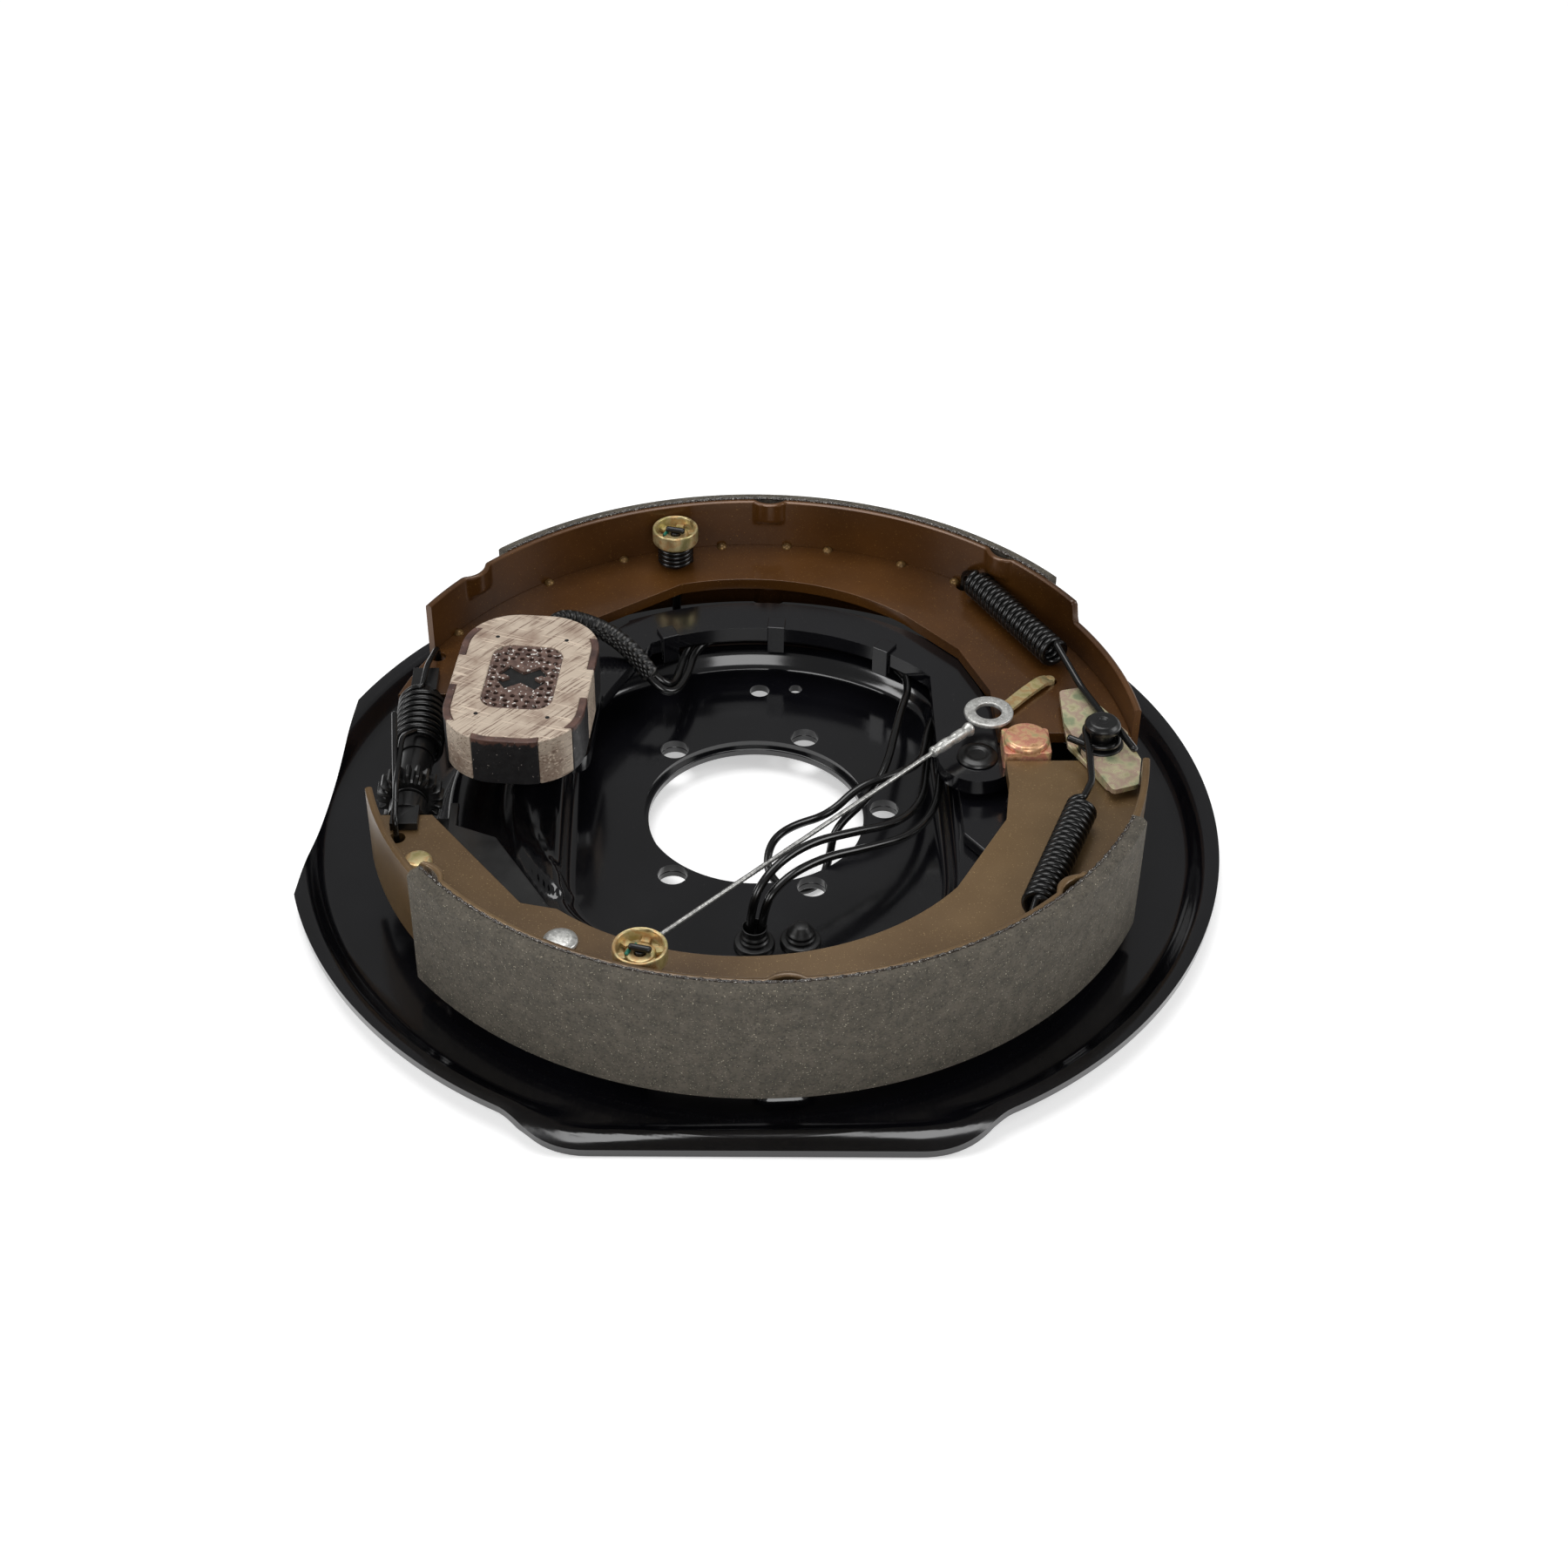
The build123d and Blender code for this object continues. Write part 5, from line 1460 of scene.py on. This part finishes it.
    def chart(self, piece: bpy.types.Object, path: np.ndarray) -> None:
        """UV map of the sleeve: u runs round it and v along it, both in millimetres over the chart's scale.

        Args:
            piece: The sleeve's object.
            path: Its centre points in millimetres.
        """
        mesh = piece.data
        corners = np.empty(len(mesh.loops), int)
        mesh.loops.foreach_get("vertex_index", corners)
        places = np.empty(len(mesh.vertices) * 3)
        mesh.vertices.foreach_get("co", places)
        line = metres(path)
        offset = places.reshape(-1, 1, 3) - line[None]
        nearest = np.argmin((offset**2).sum(-1), 1)
        run = np.concatenate([[0.0], np.cumsum(np.linalg.norm(np.diff(path, axis=0), axis=1))])
        away = offset[np.arange(len(offset)), nearest]
        angle = np.arctan2(away[:, 2], away[:, 0])
        chart = np.column_stack([angle * self.sleeve_diameter / 2, run[nearest]])[corners] / self.chart_scale
        layer = mesh.uv_layers.new(name="along")
        layer.data.foreach_set("uv", chart.astype(np.float32).ravel())


@dataclass
class Studio:
    """Camera at the photograph's angle, pale floor, soft lamps and a plain world."""

    distance: float = 945.85
    elevation: float = 0.679
    azimuth: float = -0.0349066
    roll: float = 0.017
    shift: tuple[float, float] = (10.898, 19.547)
    lens: float = 56.0

    def camera(self) -> None:
        """Places the camera: location = back · distance + right · x + up · y."""
        sa, ca = math.sin(self.azimuth), math.cos(self.azimuth)
        se, ce = math.sin(self.elevation), math.cos(self.elevation)
        back = np.array([sa * ce, -ca * ce, se])
        level = np.array([ca, sa, 0.0])
        upward = np.cross(back, level)
        c, s = math.cos(self.roll), math.sin(self.roll)
        right, up = level * c + upward * s, -level * s + upward * c
        where = metres(back * self.distance + right * self.shift[0] + up * self.shift[1])
        data = bpy.data.cameras.new("camera")
        data.lens, data.sensor_width, data.clip_end = self.lens, 36.0, 20.0
        view = bpy.data.objects.new("camera", data)
        matrix = np.eye(4)
        matrix[:3, 0], matrix[:3, 1], matrix[:3, 2], matrix[:3, 3] = right, up, back, where
        view.matrix_world = Matrix(matrix.tolist())
        bpy.context.scene.collection.objects.link(view)
        bpy.context.scene.camera = view

    def floor(self) -> None:
        """Pale floor, white to the camera, to mirrors and through glass, which keeps the shadow."""
        size, height = 6000.0, -0.02
        corners = np.array([(x * size, y * size, height) for x, y in ((-1, -1), (1, -1), (1, 1), (-1, 1))])
        sheet = mesh_object("floor", Surface(corners, [np.array([[0, 1, 2, 3]])]))
        tree = Tree("floor")
        settings = {"Base Color": (0.86, 0.86, 0.86, 1.0), "Roughness": 0.9, "Specular IOR Level": 0.1,
                    "Emission Color": (1.0, 1.0, 1.0, 1.0)}
        for name, value in settings.items():
            tree.shader.inputs[name].default_value = value
        path = tree.add("LightPath", {}).outputs
        either = tree.add("Math", {0: path["Is Camera Ray"], 1: path["Is Glossy Ray"]}, operation="MAXIMUM")
        seen = tree.add("Math", {0: either.outputs[0], 1: path["Is Transmission Ray"]}, operation="MAXIMUM")
        glow = tree.add("Math", {0: seen.outputs[0], 1: 0.42}, operation="MULTIPLY")
        tree.connect(glow.outputs[0], "Emission Strength")
        sheet.data.materials.append(tree.material)

    def lamps(self) -> None:
        """Soft boxes over and beside the object."""
        boxes = (
            ("overhead", (-0.15, 0.35, 1.5), (0.0, 0.02, 0.0), 1.0, 12.0, 1.0),
            ("left", (-1.35, -0.35, 0.85), (0.0, 0.0, 0.0), 0.7, 7.5, 0.4),
            ("right", (1.35, -0.1, 0.9), (0.0, 0.0, 0.0), 0.7, 6.5, 0.4),
            ("front", (0.1, -1.45, 0.75), (0.0, 0.0, 0.02), 0.8, 7.5, 0.3),
        )
        for name, where, aim, size, power, shine in boxes:
            data = bpy.data.lights.new(name, "AREA")
            data.shape, data.size, data.energy, data.specular_factor = "SQUARE", size, power, shine
            lamp = bpy.data.objects.new(name, data)
            lamp.location = where
            lamp.rotation_euler = (Vector(aim) - Vector(where)).to_track_quat("-Z", "Y").to_euler()
            bpy.context.scene.collection.objects.link(lamp)

    def world(self) -> None:
        """World that is white to the camera, bright near the horizon to mirrors, and dim overhead."""
        world = bpy.data.worlds.new("studio")
        world.use_nodes = True
        add = partial(add_node, world.node_tree)
        path = add("LightPath", {}).outputs
        height = add("SeparateXYZ", {0: add("TexCoord", {}).outputs["Generated"]}).outputs[2]
        low = add("MapRange", {0: height, 1: 0.02, 2: 0.3, 3: 0.5, 4: 0.2}).outputs[0]
        glossy = add("Math", {0: path["Is Glossy Ray"], 1: low}, operation="MULTIPLY").outputs[0]
        diffuse = add("Math", {0: path["Is Diffuse Ray"], 1: 0.22}, operation="MULTIPLY").outputs[0]
        both = add("Math", {0: glossy, 1: diffuse}, operation="MAXIMUM").outputs[0]
        seen = add("Math", {0: path["Is Camera Ray"], 1: path["Is Transmission Ray"]}, operation="MAXIMUM")
        strength = add("Math", {0: both, 1: seen.outputs[0]}, operation="MAXIMUM").outputs[0]
        ground = world.node_tree.nodes["Background"]
        ground.inputs["Color"].default_value = (1.0, 1.0, 1.0, 1.0)
        world.node_tree.links.new(strength, ground.inputs["Strength"])
        bpy.context.scene.world = world

    def build(self) -> None:
        """Builds the whole studio."""
        bpy.context.scene.view_settings.view_transform = "Standard"
        self.camera()
        self.floor()
        self.lamps()
        self.world()


def main() -> None:
    """Loads the frame and dresses the brake in the order in which it is assembled."""
    logging.basicConfig(level=logging.INFO, format="%(message)s")
    FRAME.update(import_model())
    Studio().build()
    Leads().build()
    BackingPlate().build()
    Anchor().build()
    MagnetLever().build()
    Magnet().build()
    Shoe("primary", Body.PRIMARY_SHOE, (29.0, 151.8), 4.0, 151.8, (36.3, 133.0), (46.0, 87.0, 140.0),
         (38.0, 54.0, 64.0, 77.0, 84.0, 95.0, 112.0, 126.0, 146.0)).build()
    Shoe("secondary", Body.SECONDARY_SHOE, (216.2, 320.5), 193.5, 352.5, (216.8, 334.8), (218.5, 273.0, 317.0),
         (224.0, 236.0, 246.0, 260.0, 280.0, 292.0, 304.0, 324.0)).build()
    HoldDown().build()
    Retractor("primary_retractor_spring", (91.6, 104.8, 46.2), (118.6, 54.6, 46.2), 6.2, (87.5, 112.0), 46.3, (
        (126.5, 32.0), (132.0, 16.0), (136.2, 4.0), (136.2, -3.0), (132.5, -6.2), (126.0, -5.2), (118.0, 0.5),
    )).build()
    Retractor("secondary_retractor_spring", (95.5, -95.0, 46.0), (118.0, -40.5, 46.0), 6.2, (93.0, -100.5), 49.8, (
        (122.5, -30.0), (123.8, -12.0), (123.8, 3.0), (127.5, 6.2), (133.0, 6.2), (136.2, 2.0), (140.7, -11.0),
    )).build()
    Adjuster().build()
    AdjusterCable().build()


if __name__ == "__main__":
    main()
